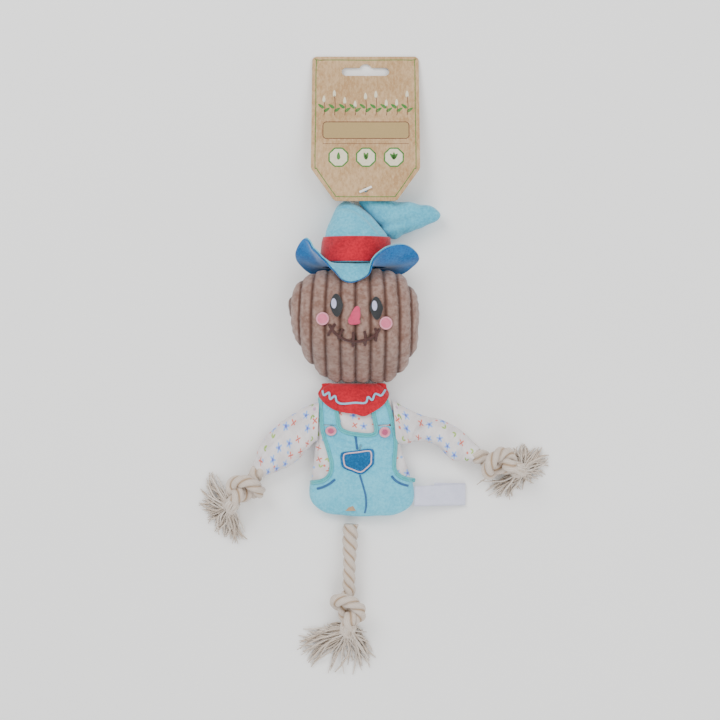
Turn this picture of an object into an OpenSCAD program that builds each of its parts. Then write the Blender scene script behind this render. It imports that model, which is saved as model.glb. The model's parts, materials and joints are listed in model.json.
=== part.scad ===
// Rope-and-plush scarecrow pet toy on its header card, laid on its back.
// +Z points up out of the face, +Y from the feet to the head, +X to the viewer's right.
// The origin is the middle of the torso's back, on the surface that the toy lies on.

/* [Ropes] */
// Diameter of the laid cotton rope
rope_d = 10.8; // [8:0.1:13]
// Length of the leg rope from the hem to its knot
leg_l = 46; // [36:1:60]
// Radius of the overhand knots across the rope
knot_r = 12; // [9:0.5:15]

/* [Head] */
// Width of the corduroy head
head_w = 87; // [72:1:105]
// Height of the seam between the head's two panels
head_seam = 20; // [16:0.5:25]
// How far the face stands above that seam
head_rise = 26; // [20:0.5:32]
// Thickness of the corduroy
head_skin = 1.6; // [1:0.1:2.4]

/* [Hat] */
// Width of the hat's crown at its brim
hat_w = 44; // [36:1:53]
// Width of the turned-up brim
brim_w = 84; // [74:1:100]
// Thickness of the crown at its base, front to back
hat_depth = 34; // [28:1:36]
// Height of the hat band
band_h = 17; // [13:1:21]
// Thickness of the felt
felt_t = 0.8; // [0.5:0.1:1.2]

/* [Torso] */
// Width of the torso at the hips
hip_w = 70; // [60:1:84]
// Height of the torso's side seam
torso_seam = 9; // [8.2:0.2:11]
// How far the chest stands above that seam
torso_rise = 10.5; // [9:0.5:14]
// Thickness of each cloth layer
cloth_t = 0.8; // [0.5:0.1:1]

/* [Arms] */
// Half width of the left sleeve
left_sleeve_r = 12.3; // [10:0.1:13.5]
// Half width of the right sleeve
right_sleeve_r = 10.8; // [9:0.1:12]
// Thickness of a sleeve at the shoulder
sleeve_depth = 17; // [15:0.5:20]

/* [Header card] */
// Width of the card
card_w = 72; // [60:1:86]
// Length of the card
card_l = 101; // [84:1:121]
// Thickness of the card
card_t = 0.6; // [0.4:0.1:1]
// Width of the card's foot, between its cut corners
card_foot = 41.5; // [34:0.5:50]
// Length of the cut corners along the card
card_cut = 22.5; // [18:0.5:27]
// Length of the hanging slot
slot_w = 32; // [28:0.5:36]
// Height of the hanging slot
slot_h = 5.8; // [5:0.1:7]
// Distance from the card's top to the slot's middle
slot_inset = 10.7; // [9:0.1:14]
// Diameter of the fastener's hole
hole_d = 3.5; // [3:0.1:5]
// Distance from the card's foot to that hole
hole_inset = 7.5; // [6:0.1:9]

/* [Side label] */
// Length of the folded ribbon label
label_l = 35.5; // [28:0.5:43]
// Width of the ribbon
label_w = 13.4; // [11:0.1:16]
// Thickness of the ribbon
label_t = 0.4; // [0.3:0.1:0.6]

/* [Hidden] */

gap = 0.3;           // clearance between pieces that move apart
ply_gap = 0.2;       // clearance between layers sewn on each other
layer_gap = 0.5;     // clearance between the shirt and the overalls over it
brim_gap = 0.5;      // clearance between the two felts of the brim
fill_gap = 0.9;      // clearance of a filling in its shell
rope_r = rope_d / 2;
thread_t = 0.5;      // embroidery stands this high

// --- Outlines ---------------------------------------------------------------

// Catmull-Rom between b and c
function blend4(a, b, c, d, t) =
    0.5 * (2 * b + (c - a) * t + (2 * a - 5 * b + 4 * c - d) * t * t
    + (3 * b - a - 3 * c + d) * t * t * t);

// Radius at an angle of a closed outline given by evenly spaced radii
function outline(radii, angle) =
    let (n = len(radii), q = (angle % 360 + 360) % 360 * n / 360, i = floor(q))
    blend4(radii[(i + n - 1) % n], radii[i % n], radii[(i + 1) % n], radii[(i + 2) % n], q - i);

// A radius stopped at a line across the Y axis, d from the centre
function cut_at(r, angle, d) = d * sin(angle) > 0.01 ? min(r, d / sin(angle)) : r;

// A radius from c stopped short of a circle round a pivot
function bitten(r, angle, c, pivot, circle) =
    let (u = [cos(angle), sin(angle)], w = pivot - c, m = w * u, k = circle * circle - w * w + m * m)
    k < 0 || m < 0 ? r : min(r, m - sqrt(k));

// Radius of a rounded rectangle
function rounded(angle, half_w, half_h, power) =
    1 / pow(pow(abs(cos(angle)) / half_w, power) + pow(abs(sin(angle)) / half_h, power), 1 / power);

// A smooth path through points, each span cut into n steps
function smooth(points, n) =
    let (last = len(points) - 1)
    [for (i = [0:last - 1], j = [0:n - 1])
        blend4(points[max(i - 1, 0)], points[i], points[i + 1], points[min(i + 2, last)], j / n),
     points[last]];

function ease(t) = let (u = min(max(t, 0), 1)) u * u * (3 - 2 * u);
function mix(a, b, t) = a + (b - a) * t;

// --- Closed skins -----------------------------------------------------------

// The two triangles of a four-cornered facet
function facet(a, b, c, d) = [[a, b, c], [a, c, d]];

// Facets between two rings of n points that start at points a and b
function belt(a, b, n) = [for (j = [0:n - 1]) each facet(a + j, a + (j + 1) % n, b + (j + 1) % n, b + j)];

// A disc-like solid between two faces, each a function of (share of the radius, angle)
module disc_skin(face, under, angles, rings) {
    n = len(angles);
    shares = [for (i = [1:rings]) sin(90 * i / rings)];
    points = concat([face(0, 0)], [for (s = shares, a = angles) face(s, a)],
        [under(0, 0)], [for (s = shares, a = angles) under(s, a)]);
    low = 1 + n * rings;
    polyhedron(points, concat(
        [for (j = [0:n - 1]) [0, 1 + (j + 1) % n, 1 + j]],
        [for (i = [0:rings - 2]) each belt(1 + i * n, 1 + (i + 1) * n, n)],
        belt(1 + (rings - 1) * n, low + 1 + (rings - 1) * n, n),
        [for (i = [rings - 2:-1:0]) each belt(low + 1 + (i + 1) * n, low + 1 + i * n, n)],
        [for (j = [0:n - 1]) [low, low + 1 + j, low + 1 + (j + 1) % n]]));
}

// A ring-like solid between two faces
module ring_skin(face, under, angles, rings) {
    n = len(angles);
    points = [for (f = [face, under], i = [0:rings], a = angles) f(i / rings, a)];
    low = n * (rings + 1);
    polyhedron(points, concat(
        [for (i = [0:rings - 1]) each belt(i * n, (i + 1) * n, n)],
        [for (i = [0:rings - 1]) each belt(low + (i + 1) * n, low + i * n, n)],
        belt(low, 0, n),
        belt(rings * n, low + rings * n, n)));
}

// A round bar along a path, flat at both ends
module bar(path, radius, sides) {
    last = len(path) - 1;
    function heading(i) = let (d = path[min(i + 1, last)] - path[max(i - 1, 0)]) d / norm(d);
    function ring(i) =
        let (h = heading(i), side = cross(h, [0, 0, 1]), e = side / norm(side), up = cross(e, h))
        [for (j = [0:sides - 1]) let (a = 360 * (j + 0.5) / sides)
            path[i] + radius * (cos(a) * e + sin(a) * up)];
    points = [for (i = [0:last]) each ring(i)];
    polyhedron(points, concat(
        [[for (j = [0:sides - 1]) j]],
        [for (i = [0:last - 1]) each belt((i + 1) * sides, i * sides, sides)],
        [[for (j = [0:sides - 1]) last * sides + sides - 1 - j]]));
}

function turn(n) = [for (i = [0:n - 1]) 360 * i / n];

// --- Pillows ----------------------------------------------------------------
// A pillow is two panels sewn at a seam: [centre, radii, share of the radii,
// [y, seam height, rise] at its low end, the same at its high end, ray limit].

function mid(b) = b[0];
function level(b, y) = ease((y - b[3][0]) / (b[4][0] - b[3][0]));
function seam(b, y) = mix(b[3][1], b[4][1], level(b, y));
function rise(b, y) = mix(b[3][2], b[4][2], level(b, y));
function reach(b, angle) = let (limit = b[5]) limit(outline(b[1], angle) * b[2], angle);
function swell(s) = sqrt(max(0, 1 - pow(min(s, 1), 2.3)));
back_fill = 1.12;    // the back is flat over its middle, where it rests

// Front and back skin, o mm outside (+) or inside (-) of the nominal one
function front_z(b, o, s, y, e) = seam(b, y) + e + (rise(b, y) + o - e) * swell(s);
function back_z(b, o, s, y, e) = seam(b, y) - e - (seam(b, y) + o - e) * min(1, back_fill * swell(s));
function skin_xy(b, o, s, angle) = mid(b) + (reach(b, angle) + o) * s * [cos(angle), sin(angle)];
function front_pt(b, o, s, angle, e) =
    let (p = skin_xy(b, o, s, angle)) [p[0], p[1], front_z(b, o, s, p[1], e)];
function back_pt(b, o, s, angle, e) =
    let (p = skin_xy(b, o, s, angle)) [p[0], p[1], back_z(b, o, s, p[1], e)];

// Height of the front skin over a place
function over(b, o, p) =
    let (d = p - mid(b), r = reach(b, atan2(d[1], d[0])) + o)
    front_z(b, o, norm(d) / r, p[1], 0);
function under(b, o, p) =
    let (d = p - mid(b), r = reach(b, atan2(d[1], d[0])) + o)
    back_z(b, o, norm(d) / r, p[1], 0);

// A patch of the front, between two offsets, inside an outline round a centre
module patch(b, c, radius, low, high, sides, rings) {
    function at(s, a) = c + radius(a) * s * [cos(a), sin(a)];
    disc_skin(function (s, a) let (p = at(s, a)) [p[0], p[1], over(b, high, p)],
        function (s, a) let (p = at(s, a)) [p[0], p[1], over(b, low, p)], turn(sides), rings);
}

// A stitched line or tape along a path on the front, m facets wide
module tape(b, path, width, low, high, m = 1) {
    last = len(path) - 1;
    n = 2 * (m + 1);
    function across(i) =
        let (d = path[min(i + 1, last)] - path[max(i - 1, 0)]) [-d[1], d[0]] / norm(d) * width;
    function place(i, k, o) = let (p = path[i] + (k / m - 0.5) * across(i)) [p[0], p[1], over(b, o, p)];
    points = [for (i = [0:last])
        each concat([for (k = [0:m]) place(i, k, high)], [for (k = [m:-1:0]) place(i, k, low)])];
    function cap(at) = [for (k = [0:m - 1]) each facet(at + k, at + k + 1, at + n - 2 - k, at + n - 1 - k)];
    function flipped(facets) = [for (f = facets) [f[2], f[1], f[0]]];
    polyhedron(points, concat(cap(0),
        [for (i = [0:last - 1]) each belt(n * (i + 1), n * i, n)],
        flipped(cap(n * last))));
}

// --- Places -----------------------------------------------------------------

neck_y = 45.5;
head_k = head_w / 87;
head_c = [-4.5, neck_y + 40.4 * head_k];
head_top = head_c[1] + 35.3 * head_k;
nod_z = torso_seam;      // the head nods about the seam at the neck

head_radii = [43.5, 45.5, 44.5, 38.5, 35.5, 38, 44, 45.5, 42, 39.5, 40, 41.5, 40, 45, 46, 45];
head = [head_c, head_radii, head_k, [neck_y, nod_z, 0.72 * head_rise],
    [neck_y + 30 * head_k, head_seam, head_rise],
    function (r, a) cut_at(r, a, neck_y + gap - (head_k - 1) - head_c[1])];

hat_c = [-3.5, head_top + 1.6 / head_k];
hat_mid_z = hat_depth / 2 + 1.4;

hip_k = hip_w / 70;
torso_side = 30 * hip_k;
body_rise = torso_rise + max(0, rope_d - 10.8);   // a thicker rope needs a thicker body
wall_gap = gap + 0.05 + 2 * max(0, hip_k - 1);
shoulder_turn = 0.79;      // share of a sleeve's radius that its pivot stands off the side
left_pivot = [-torso_side + 0.3 - shoulder_turn * left_sleeve_r, 12];
right_pivot = [torso_side - 5 + shoulder_turn * right_sleeve_r, 14.5];
hem_y = -44;
leg_x = -6.2;
leg_pivot = [leg_x, hem_y - 2];
leg_rope_z = rope_r + 2 * cloth_t + layer_gap + 2 * gap;

torso_radii = [29, 27.8, 29.3, 33.4, 41, 46.5, 46, 47.5, 49, 40.4, 34.5, 31.5,
    31.3, 33.2, 38.3, 46.5, 47.5, 44.6, 44, 45.1, 49, 49.5, 40.5, 32.8];
torso = [[0, 0], torso_radii, hip_k, [hem_y, leg_rope_z, body_rise - 2], [-20, torso_seam, body_rise],
    function (r, a)
        let (ends = cut_at(cut_at(r, a, neck_y - gap - shirt_o), a, hem_y - 1),
            left = bitten(ends, a, [0, 0], left_pivot, left_sleeve_r + wall_gap))
        bitten(left, a, [0, 0], right_pivot, right_sleeve_r + wall_gap)];
torso_angles = [for (a = [0:8:200]) a, for (a = [204:3.5:225]) a, 232, 239, for (a = [244:3.5:283]) a,
    for (a = [289:8:313]) a, for (a = [318:3.5:335.5]) a, 344, 352];
overalls_o = 0;                             // outermost layer
shirt_o = overalls_o - cloth_t - layer_gap;
padding_o = shirt_o - cloth_t - fill_gap;
trim_o = overalls_o + 2 * ply_gap;
leg_angle = atan2(hem_y, leg_x) + 360;

// Half height of the opening between the panels: closed, but for the leg rope's mouth
function mouth(angle) =
    0.15 + (rope_r + gap) * sqrt(max(0, 1 - pow(((angle % 360 + 360) % 360 - leg_angle) / 12, 2)));

// A cloth layer of the torso between two offsets, as far out as the share allows
module torso_layer(front, low, high, share) {
    function pt(o, s, a) = front ? front_pt(torso, o, s * share(a), a, mouth(a))
        : back_pt(torso, o, s * share(a), a, mouth(a));
    if (front)
        disc_skin(function (s, a) pt(high, s, a), function (s, a) pt(low, s, a), torso_angles, 6);
    else
        disc_skin(function (s, a) pt(low, s, a), function (s, a) pt(high, s, a), torso_angles, 6);
}

module head_panel(front) {
    e = gap / 2;
    if (front)
        disc_skin(function (s, a) front_pt(head, 0, s, a, e),
            function (s, a) front_pt(head, -head_skin, s, a, e), turn(44), 8);
    else
        disc_skin(function (s, a) back_pt(head, -head_skin, s, a, e),
            function (s, a) back_pt(head, 0, s, a, e), turn(44), 8);
}

// --- Header card and its fastener -------------------------------------------

hole_z = 18;                                 // height of the card's hole over the floor
hole_at = [3.7, hat_c[1] + 51.5, hole_z];
card_reach = card_l - hole_inset;
card_tilt = asin((hole_z - 0.1) / card_reach);
bar_d = 1.6;
pin_d = 1.2;

module on_card() {
    translate(hole_at) rotate([-card_tilt, 0, 0]) children();
}

module header_card() {
    color("#b8976f") on_card() difference() {
        linear_extrude(card_t) difference() {
            offset(3) offset(-3) polygon([[-card_w / 2, card_reach], [card_w / 2, card_reach],
                [card_w / 2 + 0.6, card_cut - hole_inset], [card_foot / 2, -hole_inset],
                [-card_foot / 2, -hole_inset], [-card_w / 2 - 0.6, card_cut - hole_inset]]);
            translate([0, card_reach - slot_inset]) {
                square([slot_w - slot_h, slot_h], center = true);
                for (side = [-1, 1]) translate([side * (slot_w - slot_h) / 2, 0])
                    circle(d = slot_h, $fn = 32);
                translate([0, 1.2]) circle(r = 4.3, $fn = 32);
            }
        }
        translate([0, 0, -1]) cylinder(d = hole_d, h = card_t + 2, $fn = 48);
    }
}

module tag_t_bar() {
    color("white") on_card() {
        translate([0, 0, -0.9]) cylinder(d = pin_d, h = card_t + gap + 1.6, $fn = 24);
        translate([0, 0, card_t + gap + bar_d / 2]) rotate([0, 90, 25])
            cylinder(d = bar_d, h = 9, center = true, $fn = 24);
    }
}

// The stub of nylon between the hat's peak seam and the card
module tag_filament() {
    top = [hole_at[0], hole_at[1] - 0.2, hole_z - 1.6];
    foot = [3.6, hat_c[1] + 48.6, 9.2];
    color("white") bar([top, mix(top, foot, 0.5), foot], 0.5, 8);
}

// --- Hat --------------------------------------------------------------------

// Cross-sections up the crown: [height over the base, middle x, half width, middle z, half depth]
crown_sections = [[0, 0, 1, 1, 1], [7.5, 0.4, 1, 0.98, 0.98], [15.5, 1.2, 0.98, 0.93, 0.93],
    [21.5, 0.1, 0.87, 0.84, 0.84], [27.5, -1, 0.72, 0.74, 0.74], [33.5, -2.6, 0.53, 0.64, 0.62],
    [38.5, -4.6, 0.32, 0.55, 0.45], [42, -6.5, 0.04, 0.5, 0.05]];
crown_last = len(crown_sections) - 1;
base_gap = 2 * felt_t + brim_gap + 3 * gap;

// Point of the crown, o mm outside it, at share s of the way down from its peak
function crown_pt(o, s, a) =
    let (q = (1 - s) * crown_last, i = min(floor(q), crown_last - 1),
        row = mix(crown_sections[i], crown_sections[i + 1], q - i),
        w = max(row[2] * hat_w / 2 + o, 0.05), d = max(row[4] * hat_depth / 2 + o, 0.05))
    [hat_c[0] + row[1] + w * cos(a), hat_c[1] + base_gap + row[0] + (s < 0.2 ? o : 0),
     max(row[3] * hat_mid_z, d + 0.4 + max(0, -o)) + d * sin(a)];
// That share at a height over the crown's base
function crown_share(h) =
    let (i = max([for (k = [0:crown_last - 1]) if (crown_sections[k][0] <= h) k]), low = crown_sections[i][0])
    1 - (i + (h - low) / (crown_sections[i + 1][0] - low)) / crown_last;

module hat_crown() {
    color("#5bbbd6") disc_skin(function (s, a) crown_pt(0, s, -a),
        function (s, a) crown_pt(-felt_t, s, -a), turn(28), 8);
}

module hat_stuffing() {
    function side(s, a) = crown_pt(-felt_t - fill_gap, s * 0.96, -a);
    function base(s, a) = let (p = side(1, a)) [mix(hat_c[0], p[0], s), p[1], mix(hat_mid_z, p[2], s)];
    color("white") disc_skin(function (s, a) side(s, a), function (s, a) base(s, a), turn(28), 8);
}

// The band hugs the crown from just above its base
module hat_band() {
    function band(o, s, a) = crown_pt(o, crown_share(gap + s * band_h), -a);
    color("#c4122c") ring_skin(function (s, a) band(2 * ply_gap + felt_t, s, a),
        function (s, a) band(2 * ply_gap, s, a), turn(28), 5);
}

// The peak folds over to the right in a stuffed point
tip_radii = [30.5, 17.5, 11, 9, 8.5, 10, 15, 26, 18, 13.6, 13.5, 16, 17, 15, 16.5, 21.5];
tip_c = hat_c + [hat_w / 2 + 5.2, 36.4];
tip = [tip_c, tip_radii, 1, [tip_c[1] - 20, 9, 9], [tip_c[1] + 14, 8.5, 8.5], function (r, a) r];
module hat_tip() {
    color("#5bbbd6") disc_skin(function (s, a) front_pt(tip, 0, s, a, 0.5),
        function (s, a) back_pt(tip, 0, s, a, 0.5), turn(30), 5);
}

// Rim of the brim: [x, y, z] from the right side over the front, the left and the back
brim_rim = [[42.5, 6, 24], [34, 13.5, 33], [22, 12, 38], [13, 4, 42], [9, -6, 41], [-1, -11, 39],
    [-8, -10, 39], [-14, -4, 41.5], [-21, 3, 42], [-28.5, 11, 38], [-34, 18, 33], [-40, 9, 24],
    [-37, 1.5, 13], [-28, -5, 4.5], [-16, -8, 2.8], [-3, -9, 2.6], [12, -8, 2.8], [27, -6, 4.5], [37, -1, 13]];
brim_angle = [0, 18, 33, 50, 65, 83, 97, 113, 129, 145, 162, 180, 198, 215, 240, 270, 300, 325, 342];

function rim_pt(a) =
    let (n = len(brim_rim), q = a / 360 * n, i = floor(q))
    blend4(brim_rim[(i + n - 1) % n], brim_rim[i % n], brim_rim[(i + 1) % n], brim_rim[(i + 2) % n], q - i);
function rim_angle(a) =
    let (n = len(brim_angle), q = a / 360 * n, i = floor(q))
    mix(brim_angle[i % n], i + 1 < n ? brim_angle[i + 1] : 360, q - i);

brim_floor = 2 * felt_t + brim_gap + 0.1;    // the back of the brim folds flat on the floor
// Point of the brim, o mm above its lining's lower face, at share s of its width
function brim_raw(s, a) =
    let (r = rim_pt(a), u = rim_angle(a), k = brim_w / 84,
        inner = [hat_c[0] + (hat_w / 2 - 1) * cos(u), hat_c[1], hat_mid_z + (hat_depth / 2 - 1) * sin(u)],
        outer = [hat_c[0] + (r[0] + 0.4) * k, hat_c[1] + r[1], r[2]],
        t = s * s * 0.75 + s * 0.25,
        p = [mix(inner[0], outer[0], s), mix(inner[1], outer[1], t), mix(inner[2], outer[2], s)],
        xy = [p[0], p[1]],
        near = norm(xy - mid(head)) < reach(head, atan2(xy[1] - head_c[1], xy[0] - head_c[0])) + 0.8)
    !near ? p : sin(u) > -0.05 ? [p[0], p[1], max(p[2], over(head, 0.6, xy))]
        : [p[0], p[1], max(brim_floor, min(p[2], under(head, 0, xy) - 3))];
function brim_pt(o, s, a) =
    let (p = brim_raw(s, a), ds = brim_raw(min(s + 0.04, 1), a) - brim_raw(max(s - 0.04, 0), a),
        da = brim_raw(s, (a + 3) % 360) - brim_raw(s, (a + 357) % 360), n = cross(da, ds),
        q = p + o * n / norm(n))
    [q[0], q[1], max(q[2], 0.02)];

module brim_ply(low, high) {
    ring_skin(function (s, a) brim_pt(low, s, a), function (s, a) brim_pt(high, s, a), turn(38), 4);
}
module hat_brim_lining() {
    color("#0f6cb0") brim_ply(0, felt_t);
}
module hat_brim_top() {
    color("#5bbbd6") brim_ply(felt_t + brim_gap, 2 * felt_t + brim_gap);
}

// --- Head -------------------------------------------------------------------

squeaker_d = 28 * head_k;
squeaker_at = [head_c[0], head_top - 19 * head_k];

module head_front() {
    color("#8d6f62") head_panel(true);
}
module head_back() {
    color("#7d6055") head_panel(false);
}
module head_stuffing() {
    o = -head_skin - fill_gap;
    function short(s, a) = let (r = reach(head, a) + o)
        s * bitten(r, a, head_c, squeaker_at, squeaker_d / 2 + fill_gap) / r;
    color("white") disc_skin(function (s, a) front_pt(head, o, short(s, a), a, gap),
        function (s, a) back_pt(head, o, short(s, a), a, gap), turn(36), 6);
}
module squeaker() {
    color("#e8e4d8") translate([squeaker_at[0], squeaker_at[1], head_seam - 8]) {
        cylinder(d = squeaker_d, h = 12, $fn = 64);
        translate([0, 0, 12]) cylinder(d = 10, h = 2.5, $fn = 32);
    }
}

// --- Face -------------------------------------------------------------------

function face_at(x, y) = head_c + head_k * [x, y];
module stitched(c, radius, sides, rings, lift = 0) {
    low = ply_gap + lift;
    patch(head, c, radius, low, low + thread_t, sides, rings);
}
eye_tilt = 4;
module eye(c) {
    color("#15181a") stitched(c, function (a) head_k * rounded(a - eye_tilt, 4, 7.3, 2), 20, 3);
}
module glint(c) {
    color("#d6d6ec") stitched(c, function (a) head_k * rounded(a, 1.7, 3.3, 2), 12, 2, thread_t + ply_gap);
}
left_eye_at = face_at(-10.9, 10.9);
right_eye_at = face_at(15.3, 8.9);
module left_eye() { eye(left_eye_at); }
module right_eye() { eye(right_eye_at); }
module left_eye_glint() { glint(left_eye_at + head_k * [-1.6, 1]); }
module right_eye_glint() { glint(right_eye_at + head_k * [-1.4, 1.6]); }
nose_radii = [3, 3.6, 5, 8, 5, 3.6, 3.4, 4.6, 5.2, 4.4, 4.2, 4.6];
module nose() {
    color("#e83e6a") stitched(face_at(1.2, 2.4), function (a) head_k * outline(nose_radii, a + 14), 24, 3);
}
module cheek(c) {
    color("#ee7f9b") stitched(c, function (a) head_k * 4.3, 20, 3);
}
module left_cheek() { cheek(face_at(-20, 2)); }
module right_cheek() { cheek(face_at(21.5, -0.9)); }
mouth_line = [[-15.8, -1.6], [-12.5, -7.4], [-7.9, -10.7], [-2, -12.7], [3.2, -13.3], [8.4, -12.7],
    [13, -10.7], [16.9, -4.8]];
module mouth() {
    color("#4a201a") tape(head, smooth([for (p = mouth_line) face_at(p[0], p[1])], 3), 1.5,
        ply_gap, ply_gap + thread_t);
}

// --- Neckerchief ------------------------------------------------------------

scarf_c = [-5, 33];
scarf_radii = [23.5, 19, 12, 9.5, 9, 10.5, 15, 22, 23, 17, 12.5, 10, 9.5, 11.5, 14.5, 19];
scarf_o = trim_o + cloth_t + ply_gap;
module neckerchief() {
    color("#c01226") patch(torso, scarf_c, function (a) hip_k * outline(scarf_radii, a), scarf_o,
        scarf_o + cloth_t, 32, 4);
}
zigzag = [[-24.5, 38.5], [-22, 34], [-19, 35.5], [-17, 31], [-14, 33], [-11.5, 29.5], [-6.5, 30], [-1, 29.5],
    [3, 33], [6, 30], [9, 35], [13, 33.5], [15.5, 38]];
module neckerchief_trim() {
    o = scarf_o + cloth_t + ply_gap;
    color("#9fd8f0") tape(torso, smooth([for (p = zigzag) p * hip_k], 2), 1.6, o, o + thread_t);
}

// --- Torso ------------------------------------------------------------------

module shirt_front() {
    color("#dcd6d8") torso_layer(true, shirt_o - cloth_t, shirt_o, function (a) 1);
}
module shirt_back() {
    color("#d4ced0") torso_layer(false, shirt_o - cloth_t, shirt_o, function (a) 1);
}

shoulder_rope_y = 27;
// Stuffing between the shoulder rope and the sewn end of the leg rope
module body_padding() {
    top = shoulder_rope_y - rope_r - 1;
    function short(s, a) = let (r = reach(torso, a) + padding_o)
        s * bitten(cut_at(r, a, top), a, [0, 0], [leg_x, hem_y + 8], rope_r + 4) / r;
    color("white") disc_skin(function (s, a) front_pt(torso, padding_o, short(s, a), a, gap),
        function (s, a) back_pt(torso, padding_o, short(s, a), a, gap), turn(40), 5);
}
shoulder_rope_z = rope_r + 2 * cloth_t + layer_gap + 4 * gap;
module shoulder_rope() {
    color("#d2c8c0") bar([[-17, shoulder_rope_y, shoulder_rope_z], [-2, shoulder_rope_y, shoulder_rope_z],
        [10, shoulder_rope_y, shoulder_rope_z]], rope_r, 12);
}
anchor_l = 9;
module leg_rope_anchor() {
    end_y = leg_pivot[1] + rope_r + gap;
    color("#d2c8c0") bar([[leg_x, end_y + anchor_l, leg_rope_z], [leg_x, end_y + anchor_l / 2, leg_rope_z],
        [leg_x, end_y, leg_rope_z]], rope_r, 12);
}

// --- Overalls ---------------------------------------------------------------

bib_radii = [24.8, 25.3, 24.8, 17.7, 14.4, 12.9, 12.5, 12.9, 14.4, 17.7, 24.8, 23.8, 21.3, 20.4, 23, 60,
    70, 70, 70, 70, 70, 60, 27, 25.5];
function bib_share(a) = min(1, outline(bib_radii, a) * hip_k / reach(torso, a));
back_top = 31;
function seat_share(a) = let (r = reach(torso, a)) cut_at(r, a, back_top * hip_k) / r;

module overalls_front() {
    color("#5fc1dd") torso_layer(true, overalls_o - cloth_t, overalls_o, function (a) bib_share(a));
}
module overalls_back() {
    color("#5fc1dd") torso_layer(false, overalls_o - cloth_t, overalls_o, function (a) seat_share(a));
}
module strap(points) {
    color("#5fc1dd") tape(torso, smooth([for (p = points) p * hip_k], 3), 9.5,
        overalls_o - cloth_t, overalls_o, 4);
}
module left_strap() { strap([[-18, 13.2], [-19.6, 23], [-20.5, 33]]); }
module right_strap() { strap([[15.8, 13.2], [14.2, 23], [13, 32]]); }
module button(c) {
    color("#f08cab") patch(torso, c * hip_k, function (a) 3.7, trim_o, trim_o + 1.4, 20, 3);
}
module left_button() { button([-18.4, 9.6]); }
module right_button() { button([16.2, 9.4]); }

edge_w = 2.2;
module edging(points) {
    tape(torso, smooth([for (p = points) p * hip_k], 3), edge_w, trim_o, trim_o + thread_t);
}
// Satin tape round the bib and down both sides
module bib_edging() {
    color("#2fa9b8") {
        edging([[-11, 11], [-4, 10.6], [3, 10.2], [9, 11]]);
        edging([[-24, 10], [-21.2, 2], [-18.6, -6], [-18.8, -12], [-21, -17], [-26, -20.5]]);
        edging([[23.3, 8], [23.6, 0], [23.6, -9], [24.6, -14.5], [28, -18.6]]);
    }
}
pocket_c = [-1.2, -6];
pocket_radii = [10.6, 9.8, 9.2, 8.2, 7.2, 6.8, 6.7, 6.9, 7.6, 9.2, 11.4, 11, 10.6, 10.8, 11.4, 10.2,
    9.4, 9.2, 9.2, 9.5, 10, 10.2, 10.6, 11];
module pocket() {
    color("#1f6ea5") patch(torso, pocket_c * hip_k, function (a) outline(pocket_radii, a) * 0.97, trim_o,
        trim_o + 0.7, 30, 3);
}
module pocket_stitching() {
    o = trim_o + 0.7 + ply_gap;
    color("#f0d8e0") tape(torso, [for (a = [0:12:348]) pocket_c * hip_k + 0.78 * outline(pocket_radii, a)
        * [cos(a), sin(a)]], 0.8, o, o + 0.3);
}
module thread_line(points, width) {
    color("#1f6ea5") tape(torso, smooth([for (p = points) p * hip_k], 3), width, trim_o, trim_o + thread_t);
}
module chest_stitching() {
    thread_line([[-3, 8.2], [-2.6, 5.6], [-1.8, 2.6]], 1.8);
}
module fly_stitching() {
    thread_line([[0.4, -17.6], [1.4, -22], [3.2, -28], [4.2, -33], [4, -38]], 1.8);
}
module side_pocket_stitching() {
    thread_line([[-28, -25.6], [-22.5, -23.4], [-16.7, -19.4]], 1.8);
    thread_line([[21.8, -17], [26, -21.4], [31, -23.6]], 1.8);
}

// --- Side label -------------------------------------------------------------

label_y = -30.7;
label_x = skin_xy(torso, gap + 0.1, 1, -42)[0];
label_drop = asin((torso_seam - 1.6) / label_l);
label_fold_gap = 0.5;      // the ribbon's two runs lie this far apart
// The ribbon runs out, folds back under itself and fans a little to the side
module side_label() {
    near = [label_l + 0.6, -label_w / 2 + 0.4];
    far = [label_l - 1.2, label_w / 2 + 1.4];
    fold = 0.8;
    color("#d5d7e8") translate([label_x, label_y, torso_seam]) rotate([0, label_drop, 0]) {
        linear_extrude(label_t) polygon([[gap, -label_w / 2], near, far, [gap, label_w / 2]]);
        translate([0, 0, -label_t - label_fold_gap]) {
            linear_extrude(label_t)
                polygon([[label_l / 3, -label_w / 2 - 6], near, far, [label_l / 4, label_w / 2 - 3]]);
            linear_extrude(2 * label_t + label_fold_gap)
                polygon([near - [fold, 0], near, far, far - [fold, 0]]);
        }
    }
}

// --- Arms -------------------------------------------------------------------

cuff_r = rope_r + gap + cloth_t;
arm_rope_z = rope_r + cloth_t + gap;
wrist_out = 2;           // the wrist's pivot stands this far outside the cuff

left_arm_path = [left_pivot, [-49, 2.5], [-57, -4.5], [-66.3, -12.3]];
right_arm_path = [right_pivot, [45, 13.4], [56, 9], [66.5, 3.8], [76.8, -2.6]];
left_half = [1, 1.02, 0.96, 0.62];
right_half = [1, 0.86, 0.9, 0.94, 0.62];

function unit(v) = v / norm(v);
function past(path, distance) = let (n = len(path) - 1) path[n] + distance * unit(path[n] - path[n - 1]);

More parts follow.
